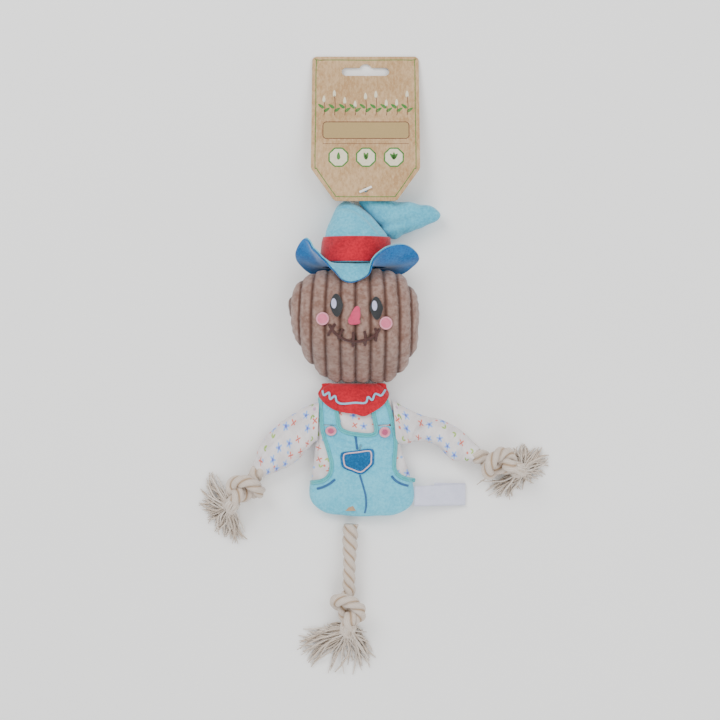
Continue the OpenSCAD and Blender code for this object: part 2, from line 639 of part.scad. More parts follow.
// A sleeve closed by a round end over its pivot and open at the cuff
module sleeve(path, half, r) {
    n = len(path) - 1;
    back = unit(path[0] - path[1]);
    ball = 0.3;          // share of the sleeve's length given to the round end
    function spot(q) = let (i = min(floor(q), n - 1))
        blend4(path[max(i - 1, 0)], path[i], path[i + 1], path[min(i + 2, n)], q - i);
    function heading(q) = unit(spot(min(q + 0.05, n)) - spot(max(q - 0.05, 0)));
    function wide(q) =
        let (i = min(floor(q), n - 1)) mix(half[i] * r, i + 1 == n ? cuff_r : half[i + 1] * r, q - i);
    function deep(q) = mix(sleeve_depth / 2, cuff_r, pow(q / n, 1.6));
    function pt(o, s, a) =
        s < ball ? let (t = 90 * s / ball, h = unit(path[1] - path[0]), c = path[0] + back * (r + o) * cos(t),
                side = [-h[1], h[0]] * (r + o) * sin(t) * cos(a), d = (sleeve_depth / 2 + o) * sin(t))
            [c[0] + side[0], c[1] + side[1], sleeve_depth / 2 + d * sin(a)]
        : let (q = (s - ball) / (1 - ball) * n, h = heading(q), c = spot(q), d = deep(q),
                side = [-h[1], h[0]] * (wide(q) + o) * cos(a))
            [c[0] + side[0], c[1] + side[1], d + (d + o) * sin(a)];
    disc_skin(function (s, a) pt(0, asin(s) / 90, a), function (s, a) pt(-cloth_t, asin(s) / 90, a),
        turn(20), 11);
}
module left_sleeve() {
    color("#dcd6d8") sleeve(left_arm_path, left_half, left_sleeve_r);
}
module right_sleeve() {
    color("#dcd6d8") sleeve(right_arm_path, right_half, right_sleeve_r);
}
function raised(points, z) = [for (p = points) [p[0], p[1], z]];
module arm_rope(path) {
    n = len(path) - 1;
    end = path[n] + (wrist_out - rope_r - gap) * unit(path[n] - path[n - 1]);
    inner = concat([for (i = [0:n - 1]) path[i]], [end]);
    color("#d2c8c0") bar(raised(smooth(inner, 2), arm_rope_z), rope_r, 12);
}
module left_arm_rope() { arm_rope(left_arm_path); }
module right_arm_rope() { arm_rope(right_arm_path); }

// --- Hands and leg ----------------------------------------------------------

left_wrist = past(left_arm_path, wrist_out);
right_wrist = past(right_arm_path, wrist_out);
knot_in = knot_r - 0.4;  // half length of a knot along its rope
stub = 1.6;              // rope showing between a cuff and its knot
left_heading = unit([-0.62, -0.78]);
right_heading = unit([0.95, -0.31]);
leg_heading = unit([-0.03, -1]);
left_knot_at = left_wrist + left_heading * (stub + knot_in + 0.9);
right_knot_at = right_wrist + right_heading * (stub + knot_in + 0.9);
leg_knot_at = leg_pivot + leg_heading * (leg_l + knot_in + 1);

// A rope end with a ball over its pivot, running to a knot
module rope_end(pivot, heading, length, z) {
    function at(d) = [pivot[0] + d * heading[0], pivot[1] + d * heading[1], z];
    back = [for (t = [80, 60, 40, 20]) [-rope_r * sin(t), rope_r * cos(t)]];
    rings = concat(back, [for (i = [0:6]) [length * i / 6, rope_r]]);
    n = 12;
    side = [heading[1], -heading[0], 0];
    points = [for (r = rings) each [for (j = [0:n - 1]) let (a = 360 * (j + 0.5) / n)
        at(r[0]) + r[1] * (cos(a) * side + [0, 0, sin(a)])]];
    last = len(rings) - 1;
    color("#d2c8c0") polyhedron(points, concat([[for (j = [0:n - 1]) j]],
        [for (i = [0:last - 1]) each belt((i + 1) * n, i * n, n)],
        [[for (j = [0:n - 1]) last * n + n - 1 - j]]));
}
left_rope_l = norm(left_knot_at - left_wrist) - knot_in - gap / 2;
right_rope_l = norm(right_knot_at - right_wrist) - knot_in - gap / 2;
module left_hand_rope() { rope_end(left_wrist, left_heading, left_rope_l, arm_rope_z); }
module right_hand_rope() { rope_end(right_wrist, right_heading, right_rope_l, arm_rope_z); }
module leg_rope() { rope_end(leg_pivot, leg_heading, leg_l + 1 - gap / 2, leg_rope_z); }

// A tied knot as one rounded mass on the floor
module knot(c, heading) {
    waist = 0.9 * knot_r;    // height of its widest part
    function pt(s, a, up) =
        let (p = c + knot_in * s * cos(a) * heading + knot_r * s * sin(a) * [-heading[1], heading[0]],
            h = sqrt(max(0, 1 - pow(s, 2.4))))
        [p[0], p[1], up ? waist + gap + 1.05 * knot_r * h : waist * (1 - min(1, 1.1 * h))];
    color("#cfc5bd") disc_skin(function (s, a) pt(s, a, true), function (s, a) pt(s, a, false), turn(20), 5);
}
module left_knot() { knot(left_knot_at, left_heading); }
module right_knot() { knot(right_knot_at, right_heading); }
module leg_knot() { knot(leg_knot_at, leg_heading); }

// A frayed end fanned out on the floor from its knot, thick at the knot and thin at its tips
module tassel(knot_at, c, radii, height) {
    function at(s, a) =
        let (p = c + s * bitten(outline(radii, a), a, c, knot_at, knot_r + gap) * [cos(a), sin(a)],
            off = norm(p - knot_at) - knot_r, thin = 0.4 + 0.6 * max(0, 1 - off / 32),
            blunt = 1 - min(1, max(0, off / 10)))
        [p[0], p[1], 0.8 + (height - 0.8) * thin * sqrt(max(0, 1 - (1 - blunt) * pow(s, 3)))];
    color("#c9bcae") disc_skin(function (s, a) at(s, a), function (s, a) let (p = at(s, a)) [p[0], p[1], 0],
        turn(32), 3);
}
module left_tassel() {
    tassel(left_knot_at, left_knot_at + [-14.5, -12.5],
        [15, 15, 14, 13, 15, 19.5, 20, 19.5, 20, 20, 21, 21, 22, 26, 20, 16.5], 12);
}
module right_tassel() {
    tassel(right_knot_at, right_knot_at + [18, -9],
        [19, 17.5, 16, 14, 12, 11, 11, 12, 14, 17, 26, 22, 17.5, 16.5, 18, 19], 11);
}
module leg_tassel() {
    tassel(leg_knot_at, leg_knot_at + [-2, -24],
        [16, 14.5, 14, 13, 12, 13, 17, 24, 27, 24, 19, 18, 20, 21, 21, 21], 11);
}

header_card();
tag_filament();
tag_t_bar();
hat_crown();
hat_tip();
hat_band();
hat_brim_top();
hat_brim_lining();
hat_stuffing();
head_front();
head_back();
head_stuffing();
squeaker();
left_eye();
right_eye();
left_eye_glint();
right_eye_glint();
nose();
left_cheek();
right_cheek();
mouth();
neckerchief();
neckerchief_trim();
shirt_front();
shirt_back();
body_padding();
shoulder_rope();
overalls_front();
overalls_back();
left_strap();
right_strap();
left_button();
right_button();
bib_edging();
pocket();
pocket_stitching();
chest_stitching();
fly_stitching();
side_pocket_stitching();
side_label();
leg_rope_anchor();
left_sleeve();
right_sleeve();
left_arm_rope();
right_arm_rope();
left_hand_rope();
right_hand_rope();
left_knot();
right_knot();
left_tassel();
right_tassel();
leg_rope();
leg_knot();
leg_tassel();
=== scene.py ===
"""A plush scarecrow toy with rope hands and foot, lying on a pale floor under its header card."""
import math
import random
from functools import partial

import bmesh
import bpy
import numpy as np
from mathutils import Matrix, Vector
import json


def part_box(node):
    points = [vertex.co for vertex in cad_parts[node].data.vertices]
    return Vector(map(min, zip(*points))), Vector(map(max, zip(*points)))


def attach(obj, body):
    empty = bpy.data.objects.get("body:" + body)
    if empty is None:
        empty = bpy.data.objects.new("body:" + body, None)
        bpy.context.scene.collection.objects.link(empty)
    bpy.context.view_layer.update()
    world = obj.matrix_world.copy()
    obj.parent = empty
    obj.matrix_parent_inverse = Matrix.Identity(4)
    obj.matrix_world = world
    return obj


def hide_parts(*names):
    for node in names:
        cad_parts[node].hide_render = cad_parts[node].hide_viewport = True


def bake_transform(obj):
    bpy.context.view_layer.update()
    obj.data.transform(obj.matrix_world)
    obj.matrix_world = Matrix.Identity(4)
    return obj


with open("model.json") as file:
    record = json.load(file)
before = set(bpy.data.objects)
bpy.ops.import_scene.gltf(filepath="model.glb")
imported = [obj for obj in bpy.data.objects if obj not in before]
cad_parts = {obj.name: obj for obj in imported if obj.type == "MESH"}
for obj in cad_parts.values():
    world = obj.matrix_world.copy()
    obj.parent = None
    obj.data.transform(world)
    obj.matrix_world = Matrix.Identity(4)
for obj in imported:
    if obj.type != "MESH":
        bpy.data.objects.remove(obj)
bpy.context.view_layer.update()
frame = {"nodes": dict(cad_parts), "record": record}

MM = 0.001
rng = random.Random(7)

# --- Camera -----------------------------------------------------------------

camera_data = bpy.data.cameras.new("camera")
camera_data.lens = 96
camera_data.sensor_width = 36
camera = bpy.data.objects.new("camera", camera_data)
camera.location = (0, 0.0609, 1.300)
bpy.context.scene.collection.objects.link(camera)
bpy.context.scene.camera = camera


# --- Meshes -----------------------------------------------------------------

def piece(name, verts, faces, body=None, uv=None, smooth=True):
    """A mesh piece from points in millimetres, with (u, v) in millimetres where a pattern needs them."""
    mesh = bpy.data.meshes.new(name)
    mesh.from_pydata([tuple(c * MM for c in v) for v in verts], [],
                     [tuple(int(i) for i in f) for f in faces])
    if uv is not None:
        layer = mesh.uv_layers.new(name="cloth")
        picked = np.array(uv, float)[[loop.vertex_index for loop in mesh.loops]]
        layer.data.foreach_set("uv", (picked * MM).ravel())
    work = bmesh.new()
    work.from_mesh(mesh)
    bmesh.ops.recalc_face_normals(work, faces=work.faces)
    work.to_mesh(mesh)
    work.free()
    mesh.polygons.foreach_set("use_smooth", [smooth] * len(mesh.polygons))
    mesh.update()
    obj = bpy.data.objects.new(name, mesh)
    bpy.context.scene.collection.objects.link(obj)
    if body:
        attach(obj, body)
    return obj


def dressed(obj, material, slot, *nodes):
    """The piece in its material, standing for the nodes that it replaces."""
    obj.data.materials.append(material)
    if nodes:
        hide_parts(*nodes)
    return obj


def lattice(rows, columns, wrap=True, start=0):
    """Faces of a grid of points stored row by row, closed round its rows if wrap."""
    last = columns if wrap else columns - 1
    return [(start + i * columns + j, start + i * columns + (j + 1) % columns,
             start + (i + 1) * columns + (j + 1) % columns, start + (i + 1) * columns + j)
            for i in range(rows - 1) for j in range(last)]


def capped(rows, columns):
    """Faces of a tube of points with its two ends closed."""
    last = (rows - 1) * columns
    return lattice(rows, columns) + [tuple(range(columns)), tuple(range(last, last + columns))]


def walled(rows, columns):
    """Faces of two skins of points, one stored after the other, joined at their first and last rings."""
    n = rows * columns
    faces = lattice(rows, columns) + [f[::-1] for f in lattice(rows, columns, start=n)]
    for ring in (0, n - columns):
        faces += [(ring + j, ring + (j + 1) % columns, ring + (j + 1) % columns + n, ring + j + n)
                  for j in range(columns)]
    return faces


def joined(parts):
    """Several (points, faces, uv) as one."""
    verts, faces, uv = [], [], []
    for v, f, t in parts:
        base = len(verts)
        verts.extend(v)
        faces.extend([tuple(base + i for i in face) for face in f])
        uv.extend(t)
    return verts, faces, uv


def unit_rows(v):
    """Vectors along the last axis, each made one long."""
    return v / np.maximum(np.linalg.norm(v, axis=-1, keepdims=True), 1e-9)


def unit(v):
    return unit_rows(np.array(v, float))


def spline(a, b, c, d, t):
    """A Catmull-Rom curve from b to c."""
    return 0.5 * (2 * b + (c - a) * t + (2 * a - 5 * b + 4 * c - d) * t * t
                  + (3 * b - a - 3 * c + d) * t ** 3)


def smooth_path(points, steps, closed=False):
    """A smooth path through the points, with steps places in each span."""
    p = np.array(points, float)
    n = len(p)
    out = []
    for i in range(n if closed else n - 1):
        near = [p[(i + k) % n] if closed else p[min(max(i + k, 0), n - 1)] for k in (-1, 0, 1, 2)]
        out += [spline(*near, j / steps) for j in range(steps)]
    if not closed:
        out.append(p[-1])
    return np.array(out)


def even(points, step):
    """The same path with its points a step apart."""
    p = np.array(points, float)
    run = np.concatenate([[0], np.cumsum(np.linalg.norm(np.diff(p, axis=0), axis=1))])
    at = np.linspace(0, run[-1], max(2, int(round(run[-1] / step)) + 1))
    return np.stack([np.interp(at, run, p[:, k]) for k in range(p.shape[1])], axis=1)


def length_of(points):
    return float(np.linalg.norm(np.diff(np.array(points, float), axis=0), axis=1).sum())


def ease(t):
    t = np.clip(t, 0, 1)
    return t * t * (3 - 2 * t)


def mix(a, b, t):
    return a + (b - a) * t


def outline(radii, angle):
    """Radius at an angle in degrees of a closed outline given by evenly spaced radii."""
    r = np.array(radii, float)
    n = len(r)
    q = np.mod(angle, 360) * n / 360
    i = np.floor(q).astype(int)
    return spline(*(r[(i + k) % n] for k in (-1, 0, 1, 2)), q - i)


# --- Pillow skins -----------------------------------------------------------

class Pillow:
    """Two panels sewn at a seam: an outline round a centre, and (y, seam height, rise) at two ends."""

    def __init__(self, centre, radii, low, high, stop=None):
        self.centre, self.radii, self.low, self.high, self.stop = np.array(centre), radii, low, high, stop

    def reach(self, angle):
        r = outline(self.radii, angle)
        return self.stop(r, angle) if self.stop else r

    def level(self, y, k):
        """The seam's height (k = 1) or the front's rise over it (k = 2), eased between the two ends."""
        return mix(self.low[k], self.high[k], ease((y - self.low[0]) / (self.high[0] - self.low[0])))

    def share(self, x, y, o=0):
        """How far out from the centre a place lies, 1 being the seam."""
        dx, dy = x - self.centre[0], y - self.centre[1]
        return np.hypot(dx, dy) / (self.reach(np.degrees(np.arctan2(dy, dx))) + o)

    def swell(self, x, y, o):
        return np.sqrt(np.maximum(0, 1 - np.minimum(self.share(x, y, o), 1) ** 2.3))

    def over(self, x, y, o=0):
        """Height of the front skin, o outside the nominal one."""
        return self.level(y, 1) + (self.level(y, 2) + o) * self.swell(x, y, o)

    def under(self, x, y, o=0):
        """Height of the back skin, which flattens where it lies on the floor."""
        return self.level(y, 1) - (self.level(y, 1) + o) * np.minimum(1, 1.12 * self.swell(x, y, o))

    def rings_out(self, o, turns, rings, first):
        """Places on rings from the share first to the seam, as x and y."""
        shares = np.sin(np.radians(90 * np.arange(rings + 1) / rings))
        shares[0] = first
        s, a = np.meshgrid(shares, np.arange(turns) * 360 / turns, indexing="ij")
        r = (self.reach(a) + o) * s
        return self.centre[0] + r * np.cos(np.radians(a)), self.centre[1] + r * np.sin(np.radians(a))

    def skin(self, o, turns, rings, shape):
        """(points, faces, uv) of the closed skin. shape(x, y, front) gives extra height along the skin."""
        x, y = self.rings_out(o, turns, rings, 0.004)
        sheets = []
        for front in (True, False):
            p = np.stack([x, y, self.over(x, y, o) if front else self.under(x, y, o)], axis=-1)
            sheets.append(p + normals(p, front) * shape(x, y, front)[..., None])
        front, back = sheets
        front[-1] = (front[-1] + back[-1]) / 2
        n = turns
        verts = np.concatenate([front.reshape(-1, 3), back[:-1].reshape(-1, 3)])
        flat = np.stack([x, y], axis=-1).reshape(-1, 2)
        first = (rings + 1) * n
        faces = lattice(rings + 1, n) + [f[::-1] for f in lattice(rings, n, start=first)]
        faces += [tuple(range(n))[::-1], tuple(range(first, first + n))]
        faces += [(rings * n + j, rings * n + (j + 1) % n, first + (rings - 1) * n + (j + 1) % n,
                   first + (rings - 1) * n + j) for j in range(n)]
        return verts, faces, np.concatenate([flat, flat[:-n]])


def normals(p, front):
    """Outward normals of a grid of points stored ring by ring."""
    around = np.roll(p, -1, axis=1) - np.roll(p, 1, axis=1)
    n = unit_rows(np.cross(np.gradient(p, axis=0), around))
    return n if front else -n


def ripple(x, y, seed, size):
    """A soft made-up unevenness, between -1 and 1."""
    k = 2 * math.pi / size
    a, b, c = 0.7 * seed, 1.3 * seed + 1, 2.1 * seed + 2
    return (np.sin(k * (x + 0.6 * y) + a) + np.sin(k * (0.8 * y - 0.5 * x) * 1.31 + b)
            + np.sin(k * (x * 0.9 - y * 1.1) * 0.77 + c)) / 3


# --- Surfaces that others are sewn on -----------------------------------------

def joint(name):
    """Where a joint turns, in millimetres."""
    found = next(j for j in frame["record"]["behaviour"]["joints"] if j["name"] == name)
    return [c / MM for c in found["pos_m"]]


neck_y = joint("head_nod")[1]
head_c = np.array([-4.5, neck_y + 40.4])
head_radii = [43.5, 45.5, 44.5, 38.5, 35.5, 38, 44, 45.5, 42, 39.5, 40, 41.5, 40, 45, 46, 45]


def cut_low(y):
    """Stop an outline at a straight line y below its centre."""
    def stop(r, angle):
        sine = np.sin(np.radians(angle))
        return np.where(sine * y > 0.01, np.minimum(r, np.abs(y) / np.maximum(np.abs(sine), 1e-6)), r)
    return stop


head = Pillow(head_c, head_radii, (neck_y, joint("head_nod")[2], 18.72), (neck_y + 30, 20, 26),
              cut_low(neck_y + 0.3 - head_c[1]))

torso_radii = [29, 27.8, 29.3, 33.4, 41, 46.5, 46, 47.5, 49, 40.4, 34.5, 31.5,
               31.3, 33.2, 38.3, 46.5, 47.5, 44.6, 44, 45.1, 49, 49.5, 40.5, 32.8]
hem_y = -44


def stop_torso(r, angle):
    top = cut_low(neck_y - 0.3)(r, angle)
    return cut_low(hem_y - 1)(top, angle)


torso = Pillow((0, 0), torso_radii, (hem_y, joint("leg_swing")[2], 8.5), (-20, 9, 10.5), stop_torso)


# --- Materials --------------------------------------------------------------

grain = 500.0            # the noise scale at which a blotch is 1 mm across
eased = {"interpolation_type": "SMOOTHSTEP"}
painted = {"data_type": "RGBA"}


def colour(code):
    """A linear colour from an sRGB hex code."""
    parts = [int(code[i:i + 2], 16) / 255 for i in (1, 3, 5)]
    return [c / 12.92 if c <= 0.04045 else ((c + 0.055) / 1.055) ** 2.4 for c in parts] + [1]


def add(tree, kind, inputs=None, **settings):
    """The outputs of a new node, with its settings, and its inputs set or linked by name or number."""
    made = tree.nodes.new("ShaderNode" + kind)
    for name, value in settings.items():
        setattr(made, name, value)
    for name, value in (inputs or {}).items():
        if isinstance(value, bpy.types.NodeSocket):
            tree.links.new(value, made.inputs[name])
        else:
            made.inputs[name].default_value = colour(value) if isinstance(value, str) else value
    return made.outputs


def finish_named(name, roughness, **sockets):
    """A new material and the function that adds nodes to it."""
    made = bpy.data.materials.new(name)
    made.use_nodes = True
    shader = made.node_tree.nodes["Principled BSDF"]
    shader.inputs["Roughness"].default_value = roughness
    for socket, value in sockets.items():
        shader.inputs[socket.replace("_", " ")].default_value = value
    return made, partial(add, made.node_tree)


def surfaced(made, base, height=None, depth_mm=0.0, strength=1.0):
    """The material with its colour and, where it has one, its relief."""
    tree = made.node_tree
    shader = tree.nodes["Principled BSDF"]
    tree.links.new(base, shader.inputs["Base Color"])
    if height is not None:
        bump = add(tree, "Bump", {"Height": height, "Distance": depth_mm * MM, "Strength": strength})
        tree.links.new(bump[0], shader.inputs["Normal"])
    return made


def brushed_plush(name, light, dark, pile_mm=0.9):
    # Polyester fleece with a short brushed nap: soft blotches, a pale sheen at grazing angles, no gloss.
    made, node = finish_named(name, 0.9, Sheen_Weight=0.35, Sheen_Roughness=0.5, Specular_IOR_Level=0.2)
    where = node("TexCoord")["Object"]
    nap = node("TexNoise", {"Vector": where, "Scale": grain / pile_mm, "Detail": 4, "Roughness": 0.7})["Fac"]
    blotch = node("TexNoise", {"Vector": where, "Scale": grain / 9, "Detail": 2, "Roughness": 0.6})["Fac"]
    tone = node("Mix", {0: 0.35, 2: nap, 3: blotch})[0]
    share = node("MapRange", {"Value": tone, "From Min": 0.32, "From Max": 0.68}, **eased)[0]
    return surfaced(made, node("Mix", {0: share, 6: dark, 7: light}, **painted)[2], nap, 0.35, 0.6)


rib_pitch = 10.0         # one wale of the head's wide corduroy


def wide_corduroy():
    # Wide-wale cotton corduroy with a matted pile: mottled pile on the wales, and painted shade darkening
    # each groove between them.
    made, node = finish_named("cotton_corduroy", 0.95, Sheen_Weight=0.3, Specular_IOR_Level=0.15)
    across = node("SeparateXYZ", {0: node("UVMap", uv_map="cloth")["UV"]})[0]
    groove = node("Math", {0: across, 1: rib_pitch / 2 * MM}, operation="PINGPONG")[0]
    top = node("MapRange", {"Value": groove, "From Max": 2.6 * MM}, **eased)[0]
    where = node("TexCoord")["Object"]
    pile = node("TexNoise", {"Vector": where, "Scale": grain / 1.6, "Detail": 5, "Roughness": 0.75})["Fac"]
    clump = node("TexNoise", {"Vector": where, "Scale": grain / 4.5, "Detail": 3, "Roughness": 0.6})["Fac"]
    patchy_noise = node("Mix", {0: 0.3, 2: pile, 3: clump})[0]
    share = node("MapRange", {"Value": patchy_noise, "From Min": 0.36, "From Max": 0.66}, **eased)[0]
    rib = node("Mix", {0: share, 6: "#7a5a4e", 7: "#a1857a"}, **painted)[2]
    # Painted shade: the colour turns to #54382f towards each groove's middle.
    return surfaced(made, node("Mix", {0: top, 6: "#54382f", 7: rib}, **painted)[2], pile, 1.1, 0.9)


def satin_thread(name, light, dark, pitch_mm=0.55, along=True):
    # Rayon embroidery thread laid in close parallel stitches: fine ridges, painted shade between the
    # stitches, a painted highlight on each stitch and patches of painted lustre.
    made, node = finish_named(name, 0.42, Sheen_Weight=0.2, Specular_IOR_Level=0.45)
    where = node("UVMap", uv_map="cloth")["UV"] if along else node("TexCoord")["Object"]
    wobble = node("TexNoise", {"Vector": where, "Scale": grain / 3, "Detail": 2, "Roughness": 0.6})["Fac"]
    run = node("SeparateXYZ", {0: where})[1]
    uneven = node("Math", {0: wobble, 1: 0.5 * MM, 2: run}, operation="MULTIPLY_ADD")[0]
    line = node("Math", {0: uneven, 1: pitch_mm / 2 * MM}, operation="PINGPONG")[0]
    ridge = node("MapRange", {"Value": line, "From Max": pitch_mm / 2 * MM}, **eased)[0]
    patchy_noise = node("TexNoise", {"Vector": where, "Scale": grain / 1.8, "Detail": 3, "Roughness": 0.6})["Fac"]
    painted_lustre = node("MapRange", {"Value": patchy_noise, "From Min": 0.3, "From Max": 0.6, "To Min": 0.55}, **eased)[0]
    # Painted shade and highlight: the colour follows the stitch ridges, dark between stitches and light on
    # their crowns, dimmed in patches as painted lustre.
    tone = node("Math", {0: ridge, 1: painted_lustre}, operation="MULTIPLY")[0]
    return surfaced(made, node("Mix", {0: tone, 6: dark, 7: light}, **painted)[2], ridge, 0.22, 0.8)


def woven_cloth(name, light, dark, thread_mm=0.7, sheen=0.1):
    # Plain-weave ribbon or cotton: two sets of threads crossing, slightly uneven, with painted shading of the
    # weave: lighter on the thread crowns, darker between threads.
    made, node = finish_named(name, 0.8, Sheen_Weight=sheen, Specular_IOR_Level=0.25)
    where = node("TexCoord")["Object"]
    x, y, _ = node("SeparateXYZ", {0: where})
    warp = node("Math", {0: x, 1: thread_mm / 2 * MM}, operation="PINGPONG")[0]
    weft = node("Math", {0: y, 1: thread_mm / 2 * MM}, operation="PINGPONG")[0]
    both = node("Math", {0: warp, 1: weft}, operation="ADD")[0]
    weave = node("Math", {0: both, 1: 1 / (thread_mm * MM)}, operation="MULTIPLY")[0]
    slub = node("TexNoise", {"Vector": where, "Scale": grain / 5, "Detail": 3, "Roughness": 0.6})["Fac"]
    # Painted shading of the weave: its relief also sets the colour, mixed half and half with random slub.
    tone = node("Mix", {0: 0.5, 2: weave, 3: slub})[0]
    share = node("MapRange", {"Value": tone, "From Min": 0.3, "From Max": 0.7}, **eased)[0]
    return surfaced(made, node("Mix", {0: share, 6: dark, 7: light}, **painted)[2], weave, 0.12, 0.6)


def moulded(name, code, roughness=0.35):
    # Injection-moulded plastic: even colour, faint flow marks, a clean highlight.
    made, node = finish_named(name, roughness)
    where = node("TexCoord")["Object"]
    marks = node("TexNoise", {"Vector": where, "Scale": grain / 2.5, "Detail": 3, "Roughness": 0.6})["Fac"]
    share = node("Math", {0: marks, 1: 0.25}, operation="MULTIPLY")[0]
    return surfaced(made, node("Mix", {0: share, 6: code, 7: "#ffffff"}, **painted)[2])


def floral_print():
    # White cotton poplin, roller printed with small blue and red flowers and green sprigs.
    made, node = finish_named("printed_cotton_poplin", 0.85, Sheen_Weight=0.1, Specular_IOR_Level=0.2)
    cloth = node("UVMap", uv_map="cloth")["UV"]

    def motifs(cell_mm, shift, randomness):
        """Distance and bearing from the nearest motif's middle, and two numbers picked for that motif."""
        moved = node("VectorMath", {0: cloth, 1: (shift * MM, shift * 0.7 * MM, 0)}, operation="ADD")[0]
        grown = node("VectorMath", {0: moved, "Scale": 1 / (cell_mm * MM)}, operation="SCALE")[0]
        cells = node("TexVoronoi", {"Vector": grown, "Scale": 1.0, "Randomness": randomness},
                     voronoi_dimensions="2D")
        local = node("VectorMath", {0: grown, 1: cells["Position"]}, operation="SUBTRACT")[0]
        x, y, _ = node("SeparateXYZ", {0: local})
        start, kind, other = node("SeparateXYZ", {0: cells["Color"]})
        far = node("VectorMath", {0: local}, operation="LENGTH")["Value"]
        bearing = node("Math", {0: y, 1: x}, operation="ARCTAN2")[0]
        turned = node("Math", {0: start, 1: 2 * math.pi, 2: bearing}, operation="MULTIPLY_ADD")[0]
        return far, turned, kind, other

    falling = {"To Min": 1.0, "To Max": 0.0}
    far, turned, kind, other = motifs(7.6, 0, 0.6)
    blooms = []
    for petals, wave, reach in ((5, 0.1, 0.25), (4, 0.13, 0.17)):
        lobes = node("Math", {0: turned, 1: petals}, operation="MULTIPLY")[0]
        wavy = node("Math", {0: lobes}, operation="COSINE")[0]
        edge = node("Math", {0: wavy, 1: wave, 2: reach}, operation="MULTIPLY_ADD")[0]
        off = node("Math", {0: far, 1: edge}, operation="SUBTRACT")[0]
        bloom = node("MapRange", {"Value": off, "From Min": -0.05, "From Max": 0.03, **falling}, **eased)[0]
        blooms.append(bloom)
    mirrored = node("Math", {0: turned, 1: math.pi}, operation="PINGPONG")[0]
    leaning = node("Math", {0: mirrored, 1: 0.55}, operation="SUBTRACT")[0]
    folded = node("Math", {0: leaning}, operation="ABSOLUTE")[0]
    opened = node("Math", {0: folded, 1: 1.5}, operation="MINIMUM")[0]
    sine = node("Math", {0: opened}, operation="SINE")[0]
    off_leaf = node("Math", {0: far, 1: sine}, operation="MULTIPLY")[0]
    down_leaf = node("Math", {0: far, 1: math.pi / 0.4}, operation="MULTIPLY")[0]
    belly = node("Math", {0: down_leaf}, operation="SINE")[0]
    leaf_width = node("Math", {0: belly, 1: 0.075}, operation="MULTIPLY")[0]
    past = node("Math", {0: off_leaf, 1: leaf_width}, operation="SUBTRACT")[0]
    blade = node("MapRange", {"Value": past, "From Min": -0.02, "From Max": 0.02, **falling}, **eased)[0]
    end = node("MapRange", {"Value": far, "From Min": 0.36, "From Max": 0.4, **falling}, **eased)[0]
    leaf = node("Math", {0: blade, 1: end}, operation="MULTIPLY")[0]
    is_blue = node("MapRange", {"Value": kind, "From Min": 0.34, "From Max": 0.35, **falling}, **eased)[0]
    is_green = node("MapRange", {"Value": kind, "From Min": 0.58, "From Max": 0.59}, **eased)[0]
    not_blue = node("Math", {0: 1.0, 1: is_blue}, operation="SUBTRACT")[0]
    is_red = node("Math", {0: not_blue, 1: is_green}, operation="SUBTRACT")[0]
    heart = node("MapRange", {"Value": far, "From Min": 0.05, "From Max": 0.16, **falling}, **eased)[0]
    fleck_far, _, fleck_kind, _ = motifs(6.3, 3.1, 0.9)
    fleck = node("MapRange", {"Value": fleck_far, "From Min": 0.1, "From Max": 0.17, **falling}, **eased)[0]
    is_fleck = node("MapRange", {"Value": fleck_kind, "From Min": 0.55, "From Max": 0.56}, **eased)[0]
    is_red_fleck = node("MapRange", {"Value": fleck_kind, "From Min": 0.78, "From Max": 0.79}, **eased)[0]
    slub = node("TexNoise", {"Vector": cloth, "Scale": grain / 5, "Detail": 3, "Roughness": 0.6})["Fac"]
    uneven = node("MapRange", {"Value": slub, "From Min": 0.3, "From Max": 0.7}, **eased)[0]
    inked = node("Mix", {0: uneven, 6: "#cfc8c9", 7: "#e4dfe0"}, **painted)[2]
    for shape, chosen, cover, share, first, second in (
            (fleck, is_fleck, 0.85, is_red_fleck, "#7fb0ea", "#dd5b3c"),
            (blooms[0], is_blue, 0.9, heart, "#78aaf0", "#3f4fc0"),
            (blooms[1], is_red, 0.92, heart, "#e2694c", "#b8281a"),
            (leaf, is_green, 0.92, other, "#a3c552", "#6f9a2f")):
        shown = node("Math", {0: shape, 1: chosen}, operation="MULTIPLY")[0]
        covered = node("Math", {0: shown, 1: cover}, operation="MULTIPLY")[0]
        ink = node("Mix", {0: share, 6: first, 7: second}, **painted)[2]
        inked = node("Mix", {0: covered, 6: inked, 7: ink}, **painted)[2]
    threads = node("TexNoise", {"Vector": cloth, "Scale": grain / 0.5, "Detail": 2, "Roughness": 0.6})["Fac"]
    return surfaced(made, inked, threads, 0.08, 0.5)


strand_pitch = 7.2       # from one groove of the rope to the next, along it


